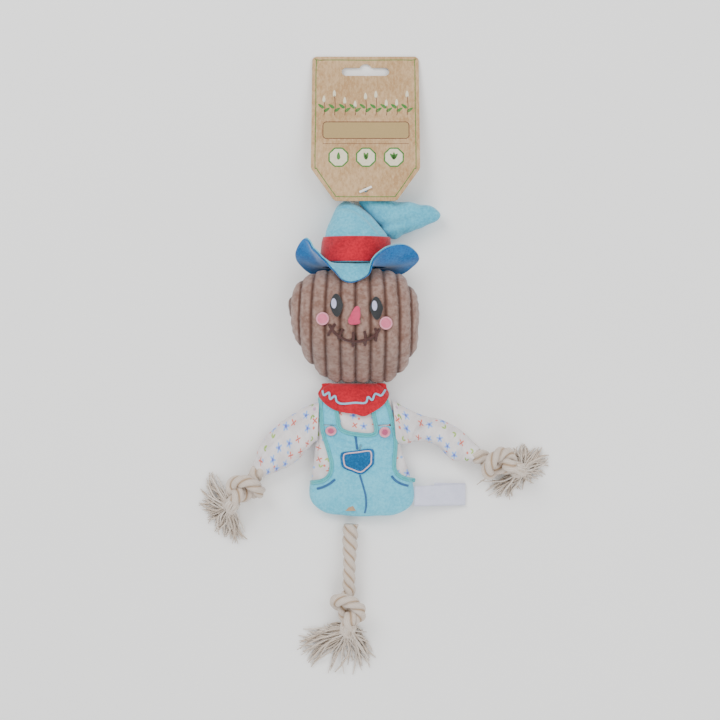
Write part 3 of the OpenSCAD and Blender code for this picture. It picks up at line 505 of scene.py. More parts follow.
def laid_cotton():
    # Soft three-strand cotton rope: pale unbleached yarns lying along each strand, with painted shade in tan
    # darkening the grooves between strands and a painted highlight along each yarn's ridge.
    made, node = finish_named("laid_cotton_rope", 0.88, Sheen_Weight=0.25, Specular_IOR_Level=0.2)
    across, along, _ = node("SeparateXYZ", {0: node("UVMap", uv_map="cloth")["UV"]})
    groove = node("Math", {0: across, 1: strand_pitch / 2 * MM}, operation="PINGPONG")[0]
    crown = node("MapRange", {"Value": groove, "From Max": 1.7 * MM}, **eased)[0]
    leaning = node("Math", {0: along, 1: 0.35, 2: across}, operation="MULTIPLY_ADD")[0]
    yarn_side = node("Math", {0: leaning, 1: 0.6 * MM}, operation="PINGPONG")[0]
    ridge = node("MapRange", {"Value": yarn_side, "From Max": 0.6 * MM}, **eased)[0]
    where = node("TexCoord")["Object"]
    fluff = node("TexNoise", {"Vector": where, "Scale": grain / 1.1, "Detail": 4, "Roughness": 0.7})["Fac"]
    share = node("MapRange", {"Value": fluff, "From Min": 0.3, "From Max": 0.7}, **eased)[0]
    pale = node("Mix", {0: share, 6: "#cdc1b6", 7: "#e6ded6"}, **painted)[2]
    # Painted shade and highlight on the yarns: #c3b3a4 between yarns, towards the pale cream on each yarn's
    # ridge.
    lit = node("Math", {0: ridge, 1: 0.6}, operation="MULTIPLY")[0]
    yarn_lit = node("Mix", {0: lit, 6: "#c3b3a4", 7: pale}, **painted)[2]
    relief = node("Math", {0: ridge, 1: 0.5, 2: fluff}, operation="MULTIPLY_ADD")[0]
    # Painted shade: the colour turns tan (#a88c70) towards the middle of each groove between strands.
    return surfaced(made, node("Mix", {0: crown, 6: "#a88c70", 7: yarn_lit}, **painted)[2], relief, 0.35, 0.7)


def teased_yarn():
    # Single cotton yarns combed out of the rope: matt, each a slightly different cream.
    made, node = finish_named("teased_cotton_yarn", 0.92, Sheen_Weight=0.25, Specular_IOR_Level=0.15)
    number, along, _ = node("SeparateXYZ", {0: node("UVMap", uv_map="cloth")["UV"]})
    where = node("TexCoord")["Object"]
    shade = node("TexNoise", {"Vector": where, "Scale": grain / 2.2, "Detail": 3, "Roughness": 0.6})["Fac"]
    each = node("TexWhiteNoise", {"W": number}, noise_dimensions="1D")["Value"]
    tone = node("Mix", {0: 0.35, 2: each, 3: shade})[0]
    turn = node("Math", {0: along, 1: 0.55 * MM}, operation="PINGPONG")[0]
    twist = node("MapRange", {"Value": turn, "From Max": 0.55 * MM}, **eased)[0]
    return surfaced(made, node("Mix", {0: tone, 6: "#b8a48f", 7: "#e9e1d8"}, **painted)[2], twist, 0.2, 0.6)


def kraft_board():
    # Unbleached kraft board: brown pulp with pale fibre flecks and a faint cloudiness, matt.
    made, node = finish_named("kraft_board", 0.88, Specular_IOR_Level=0.2)
    where = node("TexCoord")["Object"]
    drawn = node("Mapping", {"Vector": where, "Scale": (1, 0.45, 1)})[0]
    fibre = node("TexNoise", {"Vector": drawn, "Scale": grain / 0.9, "Detail": 4, "Roughness": 0.75})["Fac"]
    cloud = node("TexNoise", {"Vector": where, "Scale": grain / 14, "Detail": 2, "Roughness": 0.6})["Fac"]
    tone = node("Mix", {0: 0.3, 2: fibre, 3: cloud})[0]
    share = node("MapRange", {"Value": tone, "From Min": 0.35, "From Max": 0.65}, **eased)[0]
    brown = node("Mix", {0: share, 6: "#a8845c", 7: "#c5a680"}, **painted)[2]
    fleck = node("MapRange", {"Value": fibre, "From Min": 0.66, "From Max": 0.74, "To Max": 0.5}, **eased)[0]
    return surfaced(made, node("Mix", {0: fleck, 6: brown, 7: "#e0cda9"}, **painted)[2], fibre, 0.06, 0.5)


def printing_ink(name, code):
    # Offset ink soaked into board: flat, with the pulp showing through a little.
    made, node = finish_named(name, 0.8, Specular_IOR_Level=0.2)
    where = node("TexCoord")["Object"]
    pulp = node("TexNoise", {"Vector": where, "Scale": grain / 0.9, "Detail": 4, "Roughness": 0.75})["Fac"]
    bare = node("MapRange", {"Value": pulp, "From Min": 0.45, "From Max": 0.75, "To Max": 0.35}, **eased)[0]
    return surfaced(made, node("Mix", {0: bare, 6: code, 7: "#b8976f"}, **painted)[2])


corduroy = wide_corduroy()
hat_plush = brushed_plush("hat_fleece_sky", "#66c3dc", "#3f9fbe")
overall_plush = brushed_plush("overall_fleece_cyan", "#6bcbe4", "#49aecb")
# The brim's under ply is dark navy: painted shade for the shadow under the brim, carried in the lining's
# colour.
brim_shade_navy_plush = brushed_plush("brim_fleece_navy_painted_shade", "#1573b8", "#0a4f8c", 0.7)
red_band_plush = brushed_plush("band_fleece_red", "#c4122c", "#8e0a1c", 0.8)
scarf_cloth = brushed_plush("scarf_fleece_red", "#c8142c", "#950b1c", 0.8)
pocket_cloth = brushed_plush("pocket_fleece_navy", "#1f6ea5", "#124a7a", 0.7)
poplin = floral_print()
rope_cotton = laid_cotton()
yarn_cotton = teased_yarn()
board = kraft_board()
edging_satin = satin_thread("edging_thread_teal", "#63d6dc", "#2e9aa6")
pale_satin = satin_thread("zigzag_thread_pale_blue", "#a9dcf4", "#6fb0d6")
blush_satin = satin_thread("pocket_thread_blush", "#f3dfe6", "#caa6b4")
navy_satin = satin_thread("stitch_thread_navy", "#2a78b4", "#0f3f74")
mouth_satin = satin_thread("mouth_thread_brown", "#5c2a22", "#2a100c")
eye_satin = satin_thread("eye_thread_black", "#2a2e33", "#0a0c0e", along=False)
glint_satin = satin_thread("glint_thread_lilac", "#dcdcf2", "#a9a9cf", along=False)
nose_satin = satin_thread("nose_thread_rose", "#f04c78", "#b82552", along=False)
cheek_satin = satin_thread("cheek_thread_pink", "#f48aa4", "#cf5f7e", along=False)
cheek_rim_satin = satin_thread("cheek_rim_thread_pink", "#f9b3c4", "#dd8299")
button_satin = satin_thread("button_thread_pink", "#f595b4", "#d0668c", along=False)
button_centre_satin = satin_thread("button_centre_thread_rose", "#d0628a", "#a23d66", along=False)
label_ribbon = woven_cloth("label_ribbon_satin", "#dfe1f2", "#c2c4dc", 0.5, 0.2)
nylon = moulded("nylon_clear", "#e9e9e6", 0.3)
filling = brushed_plush("polyester_fibrefill", "#f2f0ec", "#d8d5cf", 2)
squeaker_shell = moulded("squeaker_polythene", "#e8e4d8", 0.45)


# --- Ropes and knots ----------------------------------------------------------

rope_d = 10.8
knot_span = 7.7          # one step of the knot's plan below

# An overhand knot in knot spans: along the rope, across it, and above its middle
overhand = [(-1.85, 0, -0.6), (-1.2, 0.02, -0.5), (-0.5, -0.3, -0.4), (0.3, -0.42, -0.4),
            (0.95, -0.15, -0.35), (1.1, 0.5, -0.1), (0.7, 1.02, 0.15), (0.05, 0.95, 0.5), (-0.5, 0.25, 0.75),
            (-0.65, -0.55, 0.6), (-0.5, -1.1, 0.0), (-0.15, -0.95, -0.75), (0.1, -0.2, -1.15),
            (0.3, 0.35, -0.75), (0.6, 0.35, 0.1), (1.05, 0.1, 0.65), (1.75, 0.0, 0.35), (2.3, 0.0, 0.0)]


def knot_points(middle, heading, side):
    """The route of a rope through an overhand knot round a place."""
    across = side * np.array([-heading[1], heading[0], 0])
    return [middle + knot_span * (u * heading + v * across + w * np.array([0, 0, 1])) for u, v, w in overhand]


def frames_along(path):
    """Headings and side vectors that don't turn about the path."""
    heading = unit_rows(np.gradient(path, axis=0))
    side = unit(np.cross(heading[0], (0, 0, 1)))
    sides = []
    for h in heading:
        side = unit(side - h * np.dot(side, h))
        sides.append(side)
    return heading, np.array(sides)


def in_knot(share):
    """The rope's radius, pulled thinner where the knot squeezes it."""
    squeezed = ease((share - 0.08) / 0.1) * (1 - ease((share - 0.9) / 0.1))
    return rope_d / 2 * (1 - 0.17 * squeezed)


def laid_rope(path, lay=22.0, around=36):
    """A three-strand rope: (points, faces, uv), with u counting the strands and v the length."""
    path = even(path, 0.9)
    heading, sides = frames_along(path)
    full = length_of(path)
    last = len(path) - 1
    verts, uv = [], []
    for i, (p, h, e) in enumerate(zip(path, heading, sides)):
        run = full * i / last
        up = np.cross(h, e)
        radius = in_knot(i / last)
        twist = 2 * math.pi * run / lay
        for j in range(around):
            angle = 2 * math.pi * j / around
            strand = (angle * 3 / (2 * math.pi)) % 1
            psi = (strand - 0.5) * 2 * math.pi / 3
            lobe = 0.42 * math.cos(psi) + math.sqrt(max(0, 0.58 ** 2 - (0.42 * math.sin(psi)) ** 2))
            turn = angle - twist
            verts.append(p + radius * lobe * (math.cos(turn) * e + math.sin(turn) * up))
            uv.append((j * 3 / around * strand_pitch, run))
    return verts, capped(len(path), around), uv


knot_height = 13.6       # a knot's middle over the floor


def knot_middle(name):
    low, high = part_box(name + "_knot")
    return np.array([(low[0] + high[0]) / 2 / MM, (low[1] + high[1]) / 2 / MM, knot_height])


headings = {"left": (-0.62, -0.78), "right": (0.95, -0.31), "leg": (-0.03, -1)}
rope_pieces, rope_routes = {}, {}
for name, body, root, hinge, side, straight in (
        ("left", "left_hand", "left_arm", "left_wrist", -1, (-1.0,)),
        ("right", "right_hand", "right_arm", "right_wrist", 1, (-1.0,)),
        ("leg", "leg", "torso", "leg_swing", 1, (3.5, 18.5, 31.5))):
    h = unit((*headings[name], 0))
    start = np.array(joint(hinge))
    route = [start + run * h for run in straight] + knot_points(knot_middle(name), h, side)
    rope_routes[name] = even(smooth_path(route, 8), 1.6)
    verts, faces, uv = laid_rope(rope_routes[name])
    rope_pieces[name] = piece(name + "_rope_tied", verts, faces, None, uv)
    dressed(rope_pieces[name], rope_cotton, "cotton_rope", body + "_rope", name + "_knot")
    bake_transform(rope_pieces[name])


# --- Tassels ------------------------------------------------------------------

def yarn(path, radius, number, sides=5, step=1.5):
    """One yarn, thinner at its tip: (points, faces, uv), with its number in u and its length in v."""
    path = even(path, step)
    heading, around = frames_along(path)
    verts, uv = [], []
    n = len(path)
    for i, (p, h, e) in enumerate(zip(path, heading, around)):
        up = np.cross(h, e)
        r = radius * (1 - 0.5 * ease((i / (n - 1) - 0.85) / 0.15))
        for j in range(sides):
            turn = 2 * math.pi * j / sides + i * 0.5
            verts.append(p + r * (math.cos(turn) * e + math.sin(turn) * up))
            uv.append((number * 1000.0, i * step))
    return verts, capped(n, sides), uv


def tassel(name, body, rope_route, tips, count, height):
    """Yarns teased out of a rope's end, falling in a loose fan whose tips lie along a line of points."""
    end, before = rope_route[-1], rope_route[-6]
    h = unit(end - before)
    side = unit(np.cross(h, (0, 0, 1)))
    fan = smooth_path(tips, 6)
    parts = []
    for k in range(count):
        where = rng.random() * (len(fan) - 1)
        i = int(where)
        tip = fan[i] + (fan[min(i + 1, len(fan) - 1)] - fan[i]) * (where - i)
        short = rng.uniform(0.72, 1.04) if rng.random() < 0.8 else rng.uniform(0.45, 0.75)
        out = np.array([tip[0] - end[0], tip[1] - end[1], 0])
        far = np.linalg.norm(out) * short
        out = unit(out)
        across = np.array([-out[1], out[0], 0])
        a, r = rng.uniform(0, 2 * math.pi), (rope_d / 2 - 1.1) * math.sqrt(rng.random())
        begin = before + r * (math.cos(a) * side + math.sin(a) * np.cross(side, h))
        lie = rng.uniform(0.6, height * (0.35 + 0.4 * rng.random()))
        bend, curl = rng.uniform(-3.5, 3.5), rng.uniform(-2.2, 2.2)
        knee = end + out * far * 0.42 + across * bend
        knee[2] = max(lie * 1.5, 1.0)
        late = end + out * far * 0.8 + across * (bend * 0.5 + curl)
        late[2] = max(lie * rng.uniform(0.5, 1.0), 0.7)
        last = end + out * far + across * (curl * 2)
        last[2] = rng.uniform(0.7, 1.0 + 0.5 * lie)
        route = smooth_path([begin, begin + h * 7, knee, late, last], 7)
        parts.append(yarn(route, rng.uniform(0.5, 0.72), k))
    verts, faces, uv = joined(parts)
    made = piece(name + "_tassel_yarns", verts, faces, body, uv)
    return dressed(made, yarn_cotton, "cotton_rope", name + "_tassel")


# Where each tassel's tips lie, from its knot's middle
fans = {"left": [(-3, -36), (-6, -38), (-12, -35), (-19, -32), (-26, -26), (-31, -18), (-33, -10), (-31, -2),
                 (-28, 7), (-23, 10)],
        "right": [(10, 9), (18, 12), (27, 11), (34, 8), (36, 2), (33, -8), (24, -15), (12, -20), (2, -24),
                  (-8, -20), (-14, -12)],
        "leg": [(-13, -10), (-24, -18), (-34, -24), (-32, -32), (-24, -42), (-10, -49), (2, -49), (12, -44),
                (18, -36), (12, -22), (7, -12)]}
for name, body, count, height in (("left", "left_hand", 110, 10), ("right", "right_hand", 110, 9),
                                  ("leg", "leg", 120, 9)):
    middle = knot_middle(name)
    tips = [(middle[0] + dx, middle[1] + dy, 0) for dx, dy in fans[name]]
    path = rope_routes[name]
    yarns = tassel(name, body, path, tips, count, height)


# --- Head -----------------------------------------------------------------------

def wale_place(x, y):
    """How far across the cloth a place on the head lies, counted over the wales from its middle."""
    across = x - head_c[0] - 1.5
    bulge = 8 * np.sign(across) * (np.abs(across) / 46) ** 5
    lift = np.clip((y - head_c[1]) / 36, -1, 1)
    return (across + bulge) * (1 + 0.10 * np.maximum(lift, 0) ** 2 + 0.03 * np.minimum(lift, 0) ** 2)


def wales(x, y, front):
    place = wale_place(x, y) / rib_pitch
    off = np.abs(place - np.floor(place) - 0.5) * 2
    rib = np.sqrt(np.maximum(0, 1 - off ** 2.4)) - 0.75
    return 2.1 * rib + 0.35 * ripple(x, y, 1, 6) + 0.5 * ripple(x, y, 5, 17)


verts, faces, _ = head.skin(-0.2, 300, 54, wales)
head_uv = [(wale_place(v[0], v[1]), v[1]) for v in verts]
head_piece = piece("corduroy_head", verts, faces, "head", head_uv)
dressed(head_piece, corduroy, "corduroy", "head_front", "head_back")

pillows = {"head": head, "torso": torso}


def patch(name, body, centre, radius, height, lift, turns=72, rings=8, dome=0.35, shape=None):
    """A small stitched or felt shape lying on a pillow's front, with a rounded edge."""
    angles = np.arange(turns) * 360 / turns
    reach = np.array([radius(a) for a in angles])
    centre = np.array(centre)
    top = []
    for s in [0.01] + [math.sin(math.radians(90 * i / rings)) for i in range(1, rings + 1)]:
        x = centre[0] + reach * s * np.cos(np.radians(angles))
        y = centre[1] + reach * s * np.sin(np.radians(angles))
        z = pillows[body].over(x, y) + lift + height * (1 - dome * s ** 3)
        top.append(np.stack([x, y, z + shape(x, y) if shape else z], axis=1))
    rim = top[-1].copy()
    rim[:, 2] -= height * 1.4 + 0.6
    rim[:, :2] = centre + (rim[:, :2] - centre) * 1.02
    verts = np.concatenate(top + [rim])
    return piece(name, verts, capped(rings + 2, turns), body, verts[:, :2])


def rounded(half_w, half_h, power=2.0, tilt=0.0):
    """The radius of an oval at an angle, squarer or more pointed by its power."""
    def radius(angle):
        c, s = abs(math.cos(math.radians(angle - tilt))), abs(math.sin(math.radians(angle - tilt)))
        return 1 / ((c / half_w) ** power + (s / half_h) ** power) ** (1 / power)
    return radius


def almond(half_w, half_h, tilt):
    """An oval drawn out to blunt points above and below."""
    def radius(angle):
        a = math.radians(angle - tilt)
        return rounded(half_w, half_h, 1.75)(angle - tilt) * (1 + 0.03 * math.cos(4 * a))
    return radius


def face_at(x, y):
    return head_c + np.array([x, y])


sewn = 1.0               # embroidery stands this high over the nominal skin
for side, at, shine in (("left", (-10.9, 10.9), (-12.6, 12.0)), ("right", (15.3, 8.9), (14.0, 10.5))):
    eye = patch(side + "_eye_satin", "head", face_at(*at), almond(4.1, 7.4, 3), 0.9, sewn)
    dressed(eye, eye_satin, "black_thread", side + "_eye")
    spot = patch(side + "_eye_shine", "head", face_at(*shine), rounded(1.7, 3.3, 2, 3), 0.5, sewn + 0.8)
    dressed(spot, glint_satin, "glint_thread", side + "_eye_glint")
nose_radii = [3, 3.6, 5, 8, 5, 3.6, 3.4, 4.6, 5.2, 4.4, 4.2, 4.6]
nose_piece = patch("nose_satin", "head", face_at(1.2, 2.4), lambda a: float(outline(nose_radii, a + 14)),
                   1.3, sewn, turns=96)
dressed(nose_piece, nose_satin, "rose_thread", "nose")
cheeks = {"left": face_at(-20, 2), "right": face_at(21.5, -0.9)}
for side, at in cheeks.items():
    blush = patch(side + "_cheek_satin", "head", at, rounded(3.6, 3.6), 0.8, sewn)
    dressed(blush, cheek_satin, "pink_thread", side + "_cheek")


def circle(centre, half_w, half_h):
    """Twelve places round an oval."""
    turns = np.linspace(0, 2 * math.pi, 13)[:-1]
    return [(centre[0] + half_w * math.cos(t), centre[1] + half_h * math.sin(t)) for t in turns]


def stitched_line(name, body, paths, width, height, lift, material, slot, node=None, steps=8, closed=False,
                  rows=1, cross=7, step=0.5):
    """Raised lines of satin stitches along paths, each of several rows side by side. v runs along them."""
    base = pillows[body]
    count = cross * rows
    parts = []
    for path in paths:
        line = even(smooth_path(path, steps, closed), step)
        if closed:
            line = np.concatenate([line, line[:1]])
        heading = unit_rows(np.gradient(line, axis=0))
        side = np.stack([-heading[:, 1], heading[:, 0]], axis=1)
        verts, uv = [], []
        last = len(line) - 1
        for i, (p, e) in enumerate(zip(line, side)):
            end = 1 if closed else min(1, (min(i, last - i) + 0.6) * step / (width * 0.45))
            taper = math.sqrt(max(0.05, 1 - (1 - end) ** 2))
            for k in range(count + 1):
                t = k / count
                x, y = p + e * (t - 0.5) * width * taper
                crown = math.sqrt(max(0, 1 - (2 * ((t * rows) % 1 if t < 1 else 1) - 1) ** 2 * 0.96))
                z = base.over(np.array(x), np.array(y)) + lift + height * (0.25 + 0.75 * crown) * taper
                verts.append((x, y, float(z)))
                uv.append((t * width, i * step))
            for k in (count, 0):
                x, y = p + e * ((k / count) - 0.5) * width * taper
                verts.append((x, y, float(base.over(np.array(x), np.array(y))) + lift - 1.0))
                uv.append((k / count * width, i * step))
        parts.append((verts, capped(len(line), count + 3), uv))
    verts, faces, uv = joined(parts)
    return dressed(piece(name, verts, faces, body, uv), material, slot, *([node] if node else []))


def on_face(points):
    return [tuple(face_at(*p)) for p in points]


smile = [(-15.8, -1.6), (-13.9, -5.0), (-10.4, -8.6), (-5.5, -11.6), (-0.5, -12.9), (4.2, -12.8),
         (9.0, -11.7), (13.2, -9.6), (16.2, -6.6), (17.6, -4.4)]
smile_stitches = [[(-16.6, -9.2), (-14.6, -5.5), (-11.6, -1.2)], [(-6.2, -4.6), (-8.2, -7.8), (-9.6, -11.6)],
                  [(0.1, -6.6), (0.2, -11), (-0.2, -16.6)], [(7.4, -6.0), (8.2, -10.5), (7.7, -15.9)],
                  [(14.2, -4.1), (15.4, -7.6), (14.6, -13.0)]]
stitched_line("mouth_satin", "head", [on_face(line) for line in [smile] + smile_stitches], 1.9, 0.9, sewn,
              mouth_satin, "brown_thread", "mouth")
for side, at in cheeks.items():
    stitched_line(side + "_cheek_rim", "head", [circle(at, 3.7, 3.7)], 1.1, 1.1, sewn, cheek_rim_satin,
                  "pink_thread", closed=True)


# --- Body and sleeves -------------------------------------------------------------

def crease(x, y, line, width, depth):
    """A groove along a line of points, fading at its ends, with a soft swelling beside it."""
    d = np.min([np.hypot(x - p[0], y - p[1]) for p in even(smooth_path(line, 8), 0.6)], axis=0)
    return -depth * np.exp(-(d / width) ** 2) + 0.35 * depth * np.exp(-((d - 2.2 * width) / width) ** 2)


def shirt_shape(x, y, front):
    h = 0.35 * ripple(x, y, 3, 14)
    if front:
        h = h + crease(x, y, [(-30, 20), (-28.5, 8), (-30, -4)], 1.2, 0.8)
        h = h + crease(x, y, [(27, 22), (28.5, 10), (30, -2)], 1.2, 0.8)
    return h


verts, faces, shirt_uv = torso.skin(-0.9, 220, 40, shirt_shape)
shirt = piece("shirt_body", verts, faces, "torso", shirt_uv)
dressed(shirt, poplin, "floral_cotton", "shirt_front", "shirt_back")


sleeve_deep = 17         # a sleeve's thickness at the shoulder


def sleeve(side, stations, creases):
    """A stuffed sleeve through pairs of points on its upper and lower edge, gathered at the cuff."""
    both = smooth_path([(*u, *l) for u, l in stations], 14)
    n = len(both)
    around = 72
    upper, lower = both[:, :2], both[:, 2:]
    middle, half = (upper + lower) / 2, (upper - lower) / 2
    run = np.concatenate([[0], np.cumsum(np.linalg.norm(np.diff(middle, axis=0), axis=1))])
    t = np.linspace(0, 1, n)[:, None]
    a = (np.arange(around) * 2 * math.pi / around)[None, :]
    c, s = np.cos(a), np.sin(a)
    squared = (np.abs(c) ** 2.4 + np.abs(s) ** 2.4) ** (-1 / 2.4)
    width = np.linalg.norm(half, axis=1)[:, None]
    depth = mix(sleeve_deep / 2, 6.4, t ** 1.6)
    gather = ease((t - 0.86) / 0.14)
    x = middle[:, :1] + half[:, :1] * c * squared
    y = middle[:, 1:] + half[:, 1:] * c * squared
    fold = 0.4 * ripple(x, y, 2, 11) * (1 - gather) + 0.45 * gather * np.cos(9 * a + 1)
    for line, wide, low in creases:
        fold = fold + np.maximum(s, 0) * crease(x, y, line, wide, low)
    z = np.maximum(0.15, depth + depth * s * squared + s * fold)
    verts = np.stack([x + half[:, :1] / width * c * fold, y + half[:, 1:] / width * c * fold, z], axis=-1)
    uv = np.stack([a * (width + depth) / 2, run[:, None] + 0 * a], -1).reshape(-1, 2)
    made = piece(side + "_sleeve_cloth", verts.reshape(-1, 3), capped(n, around), None, uv)
    dressed(made, poplin, "floral_cotton", side + "_sleeve")
    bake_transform(made)


left_stations = [((-27.5, 32.5), (-28.5, 6.5)), ((-34.3, 30.8), (-31.8, 4.5)),
                 ((-43.5, 25.3), (-38, -2.5)), ((-53.4, 19.0), (-45.5, -9.3)),
                 ((-61.9, 10.6), (-52.5, -12.8)), ((-68.0, 2.3), (-59, -15.6)),
                 ((-70.4, -4.5), (-63, -17.0)), ((-72.0, -9.0), (-64.9, -18.2))]
sleeve("left", left_stations,
       [([(-30, 27), (-34.2, 25.4), (-43.4, 20.1), (-52.6, 12.4), (-59, 6), (-64.6, 0.4), (-68.1, -4.6)],
         1.1, 1.6), ([(-36, 6), (-45, -1), (-54, -7)], 2.2, 0.7)])
right_stations = [((22, 34), (24.5, 4.0)), ((29.5, 29.6), (31, 4.5)), ((38, 25.4), (37, 5.8)),
                  ((45, 22.8), (43.5, 6)), ((52.5, 21.5), (49.3, 4.2)), ((60, 18.6), (54.5, 1.2)),
                  ((66.5, 14.6), (58.6, -3.8)), ((72, 10), (64, -7)), ((77, 5), (70, -7.4)),
                  ((80.2, 2.0), (74.9, -8.0))]
sleeve("right", right_stations,
       [([(36.2, 5), (37.2, 11), (40.5, 16.5), (46, 20.5)], 1.2, 2.2),
        ([(25, 22), (29, 14), (31.5, 7)], 1.3, 1.6), ([(60, 12), (63, 4), (64.5, -3)], 1.6, 0.9),
        ([(68, 9), (69.5, 2), (70, -4)], 1.4, 0.8)])


# --- Overalls ----------------------------------------------------------------------

def inside(polygon, x, y):
    """Which places lie in a polygon."""
    hit = np.zeros(np.shape(x), bool)
    n = len(polygon)
    for i in range(n):
        (x0, y0), (x1, y1) = polygon[i], polygon[(i + 1) % n]
        if y0 == y1:
            continue
        hit ^= ((y0 > y) != (y1 > y)) & (x < (x1 - x0) * (y - y0) / (y1 - y0) + x0)
    return hit


def nearest_on(polygon, p):
    """The place on a polygon's outline that is nearest to p."""
    places = []
    for a, b in zip(polygon, polygon[1:] + polygon[:1]):
        a, d = np.array(a), np.array(b) - np.array(a)
        places.append(a + d * min(1, max(0, float(np.dot(p - a, d) / max(np.dot(d, d), 1e-9)))))
    return min(places, key=lambda q: float(np.linalg.norm(p - q)))


def cell_middles(g):
    """Middles of the cells of a grid that closes round its rows."""
    pairs = g + np.roll(g, -1, axis=1)
    return (pairs[:-1] + pairs[1:]) / 4


def cut_cloth(name, polygon, o, thick, front, rings=56, shape=None):
    """A cloth sheet on one side of the torso, cut to a polygon seen from the front."""
    turns = 300
    x, y = torso.rings_out(o, turns, rings, 0.01)
    used = {}
    quads = []
    for i, j in np.argwhere(inside(polygon, cell_middles(x), cell_middles(y))):
        k = (j + 1) % turns
        quads.append([used.setdefault(c, len(used)) for c in ((i, j), (i, k), (i + 1, k), (i + 1, j))])
    edges = {}
    for quad in quads:
        for p, q in zip(quad, quad[1:] + quad[:1]):
            key = (min(p, q), max(p, q))
            edges[key] = None if key in edges else (p, q)
    border = [e for e in edges.values() if e]
    on_border = {v for e in border for v in e}
    flat = np.array([nearest_on(polygon, np.array([x[i, j], y[i, j]])) if v in on_border and i < rings
                     else (x[i, j], y[i, j]) for (i, j), v in used.items()])
    z = (torso.over if front else torso.under)(flat[:, 0], flat[:, 1], o)
    if shape:
        z = z + shape(flat[:, 0], flat[:, 1])
    inner_z = z - thick if front else z + thick
    verts = np.concatenate([np.column_stack([flat, height]) for height in (z, inner_z)])
    n = len(flat)
    faces = [tuple(q) for q in quads] + [tuple(c + n for c in q[::-1]) for q in quads]
    faces += [(p, q, q + n, p + n) for p, q in border]
    return piece(name, verts, faces, "torso", verts[:, :2])


left_edge = [(-33.6, -21.4), (-29.5, -20.8), (-26.0, -20.1), (-22.6, -18.3), (-20.2, -15.4),
             (-19.1, -11.5), (-19.1, -7.0), (-20.5, -1.7), (-22.6, 5.2), (-24.6, 11.5), (-25.6, 17),
             (-25.9, 23.1), (-26.5, 30), (-26.9, 36)]
right_edge = [(37.2, -20.0), (33.0, -19.2), (29.0, -17.9), (25.4, -15.7), (23.2, -12.0), (22.9, -8),
              (23.4, -2.5), (23.9, 4.0), (23.5, 10), (22.7, 14.5), (21.2, 22), (19.6, 28), (17.4, 35)]
neckline = [(-16.8, 35), (-15.9, 27.5), (-14.8, 21.4), (-14.2, 17.2), (-12.2, 14.2), (-7.2, 12.2),
            (0.2, 11.1), (5.5, 10.7), (9.4, 11.3), (10.9, 13.4), (10.5, 17.5), (9.4, 23.1), (8.8, 28),
            (8.0, 35)]


def soft_creases(x, y):
    h = crease(x, y, [(-12.2, 7.6), (-8, 5.6), (-3, 4.7)], 0.8, 0.8)
    h += crease(x, y, [(-12.3, 2.4), (-7.8, 2.0), (-3.2, 2.5), (3.9, 4.6), (10.6, 7.0)], 0.8, 0.7)
    h += crease(x, y, [(-8, -18), (-4, -26), (-3, -36)], 2.5, 0.5)
    return h + 0.25 * ripple(x, y, 4, 16)


fine = {name: [tuple(p) for p in smooth_path(line, 6)]
        for name, line in (("left", left_edge), ("right", right_edge), ("neck", neckline))}


def below(name, y):
    """The part of an edge of the overalls that lies below y."""
    return [p for p in fine[name] if p[1] <= y]


bib_top = 17.2
bib = (below("left", bib_top) + below("neck", bib_top) + below("right", bib_top)[::-1]
       + [(60, -20), (60, -60), (-60, -60), (-60, -21.5)])
front_cloth = cut_cloth("overalls_front_cloth", bib, 0.35, 0.9, True, shape=soft_creases)
dressed(front_cloth, overall_plush, "overall_cloth", "overalls_front")
seat = ([(-60, -21.5)] + below("left", 24) + [(-25, 31), (19, 31)] + below("right", 24)[::-1]
        + [(60, -20), (60, -60), (-60, -60)])
back_cloth = cut_cloth("overalls_back_cloth", seat, 0.0, 0.7, False)
dressed(back_cloth, overall_plush, "overall_cloth", "overalls_back")
strap_low = bib_top - 0.05
for name, inner in (("left", [p for p in fine["neck"] if p[0] < -2]),
                    ("right", [p for p in fine["neck"][::-1] if p[0] > 2])):
    ring = [p for p in fine[name] + inner if p[1] >= strap_low]
    strap = cut_cloth(name + "_strap_cloth", ring, 0.35, 0.9, True, rings=80)
    dressed(strap, overall_plush, "overall_cloth", name + "_strap")
stitched_line("bib_edging_satin", "torso", [left_edge, right_edge, neckline], 2.9, 1.0, 0.35, edging_satin,
              "trim_blue", "bib_edging", rows=2, cross=6, step=0.7)


def ray_outline(points, centre, steps=6):
    """A radius function from an outline's points, seen from a place inside it."""
    ring = smooth_path(points, steps, closed=True) - np.array(centre)
    angles = np.degrees(np.arctan2(ring[:, 1], ring[:, 0])) % 360
    order = np.argsort(angles)
    angles, reach = angles[order], np.hypot(ring[:, 0], ring[:, 1])[order]
    return lambda a: float(np.interp(a % 360, angles, reach, period=360))


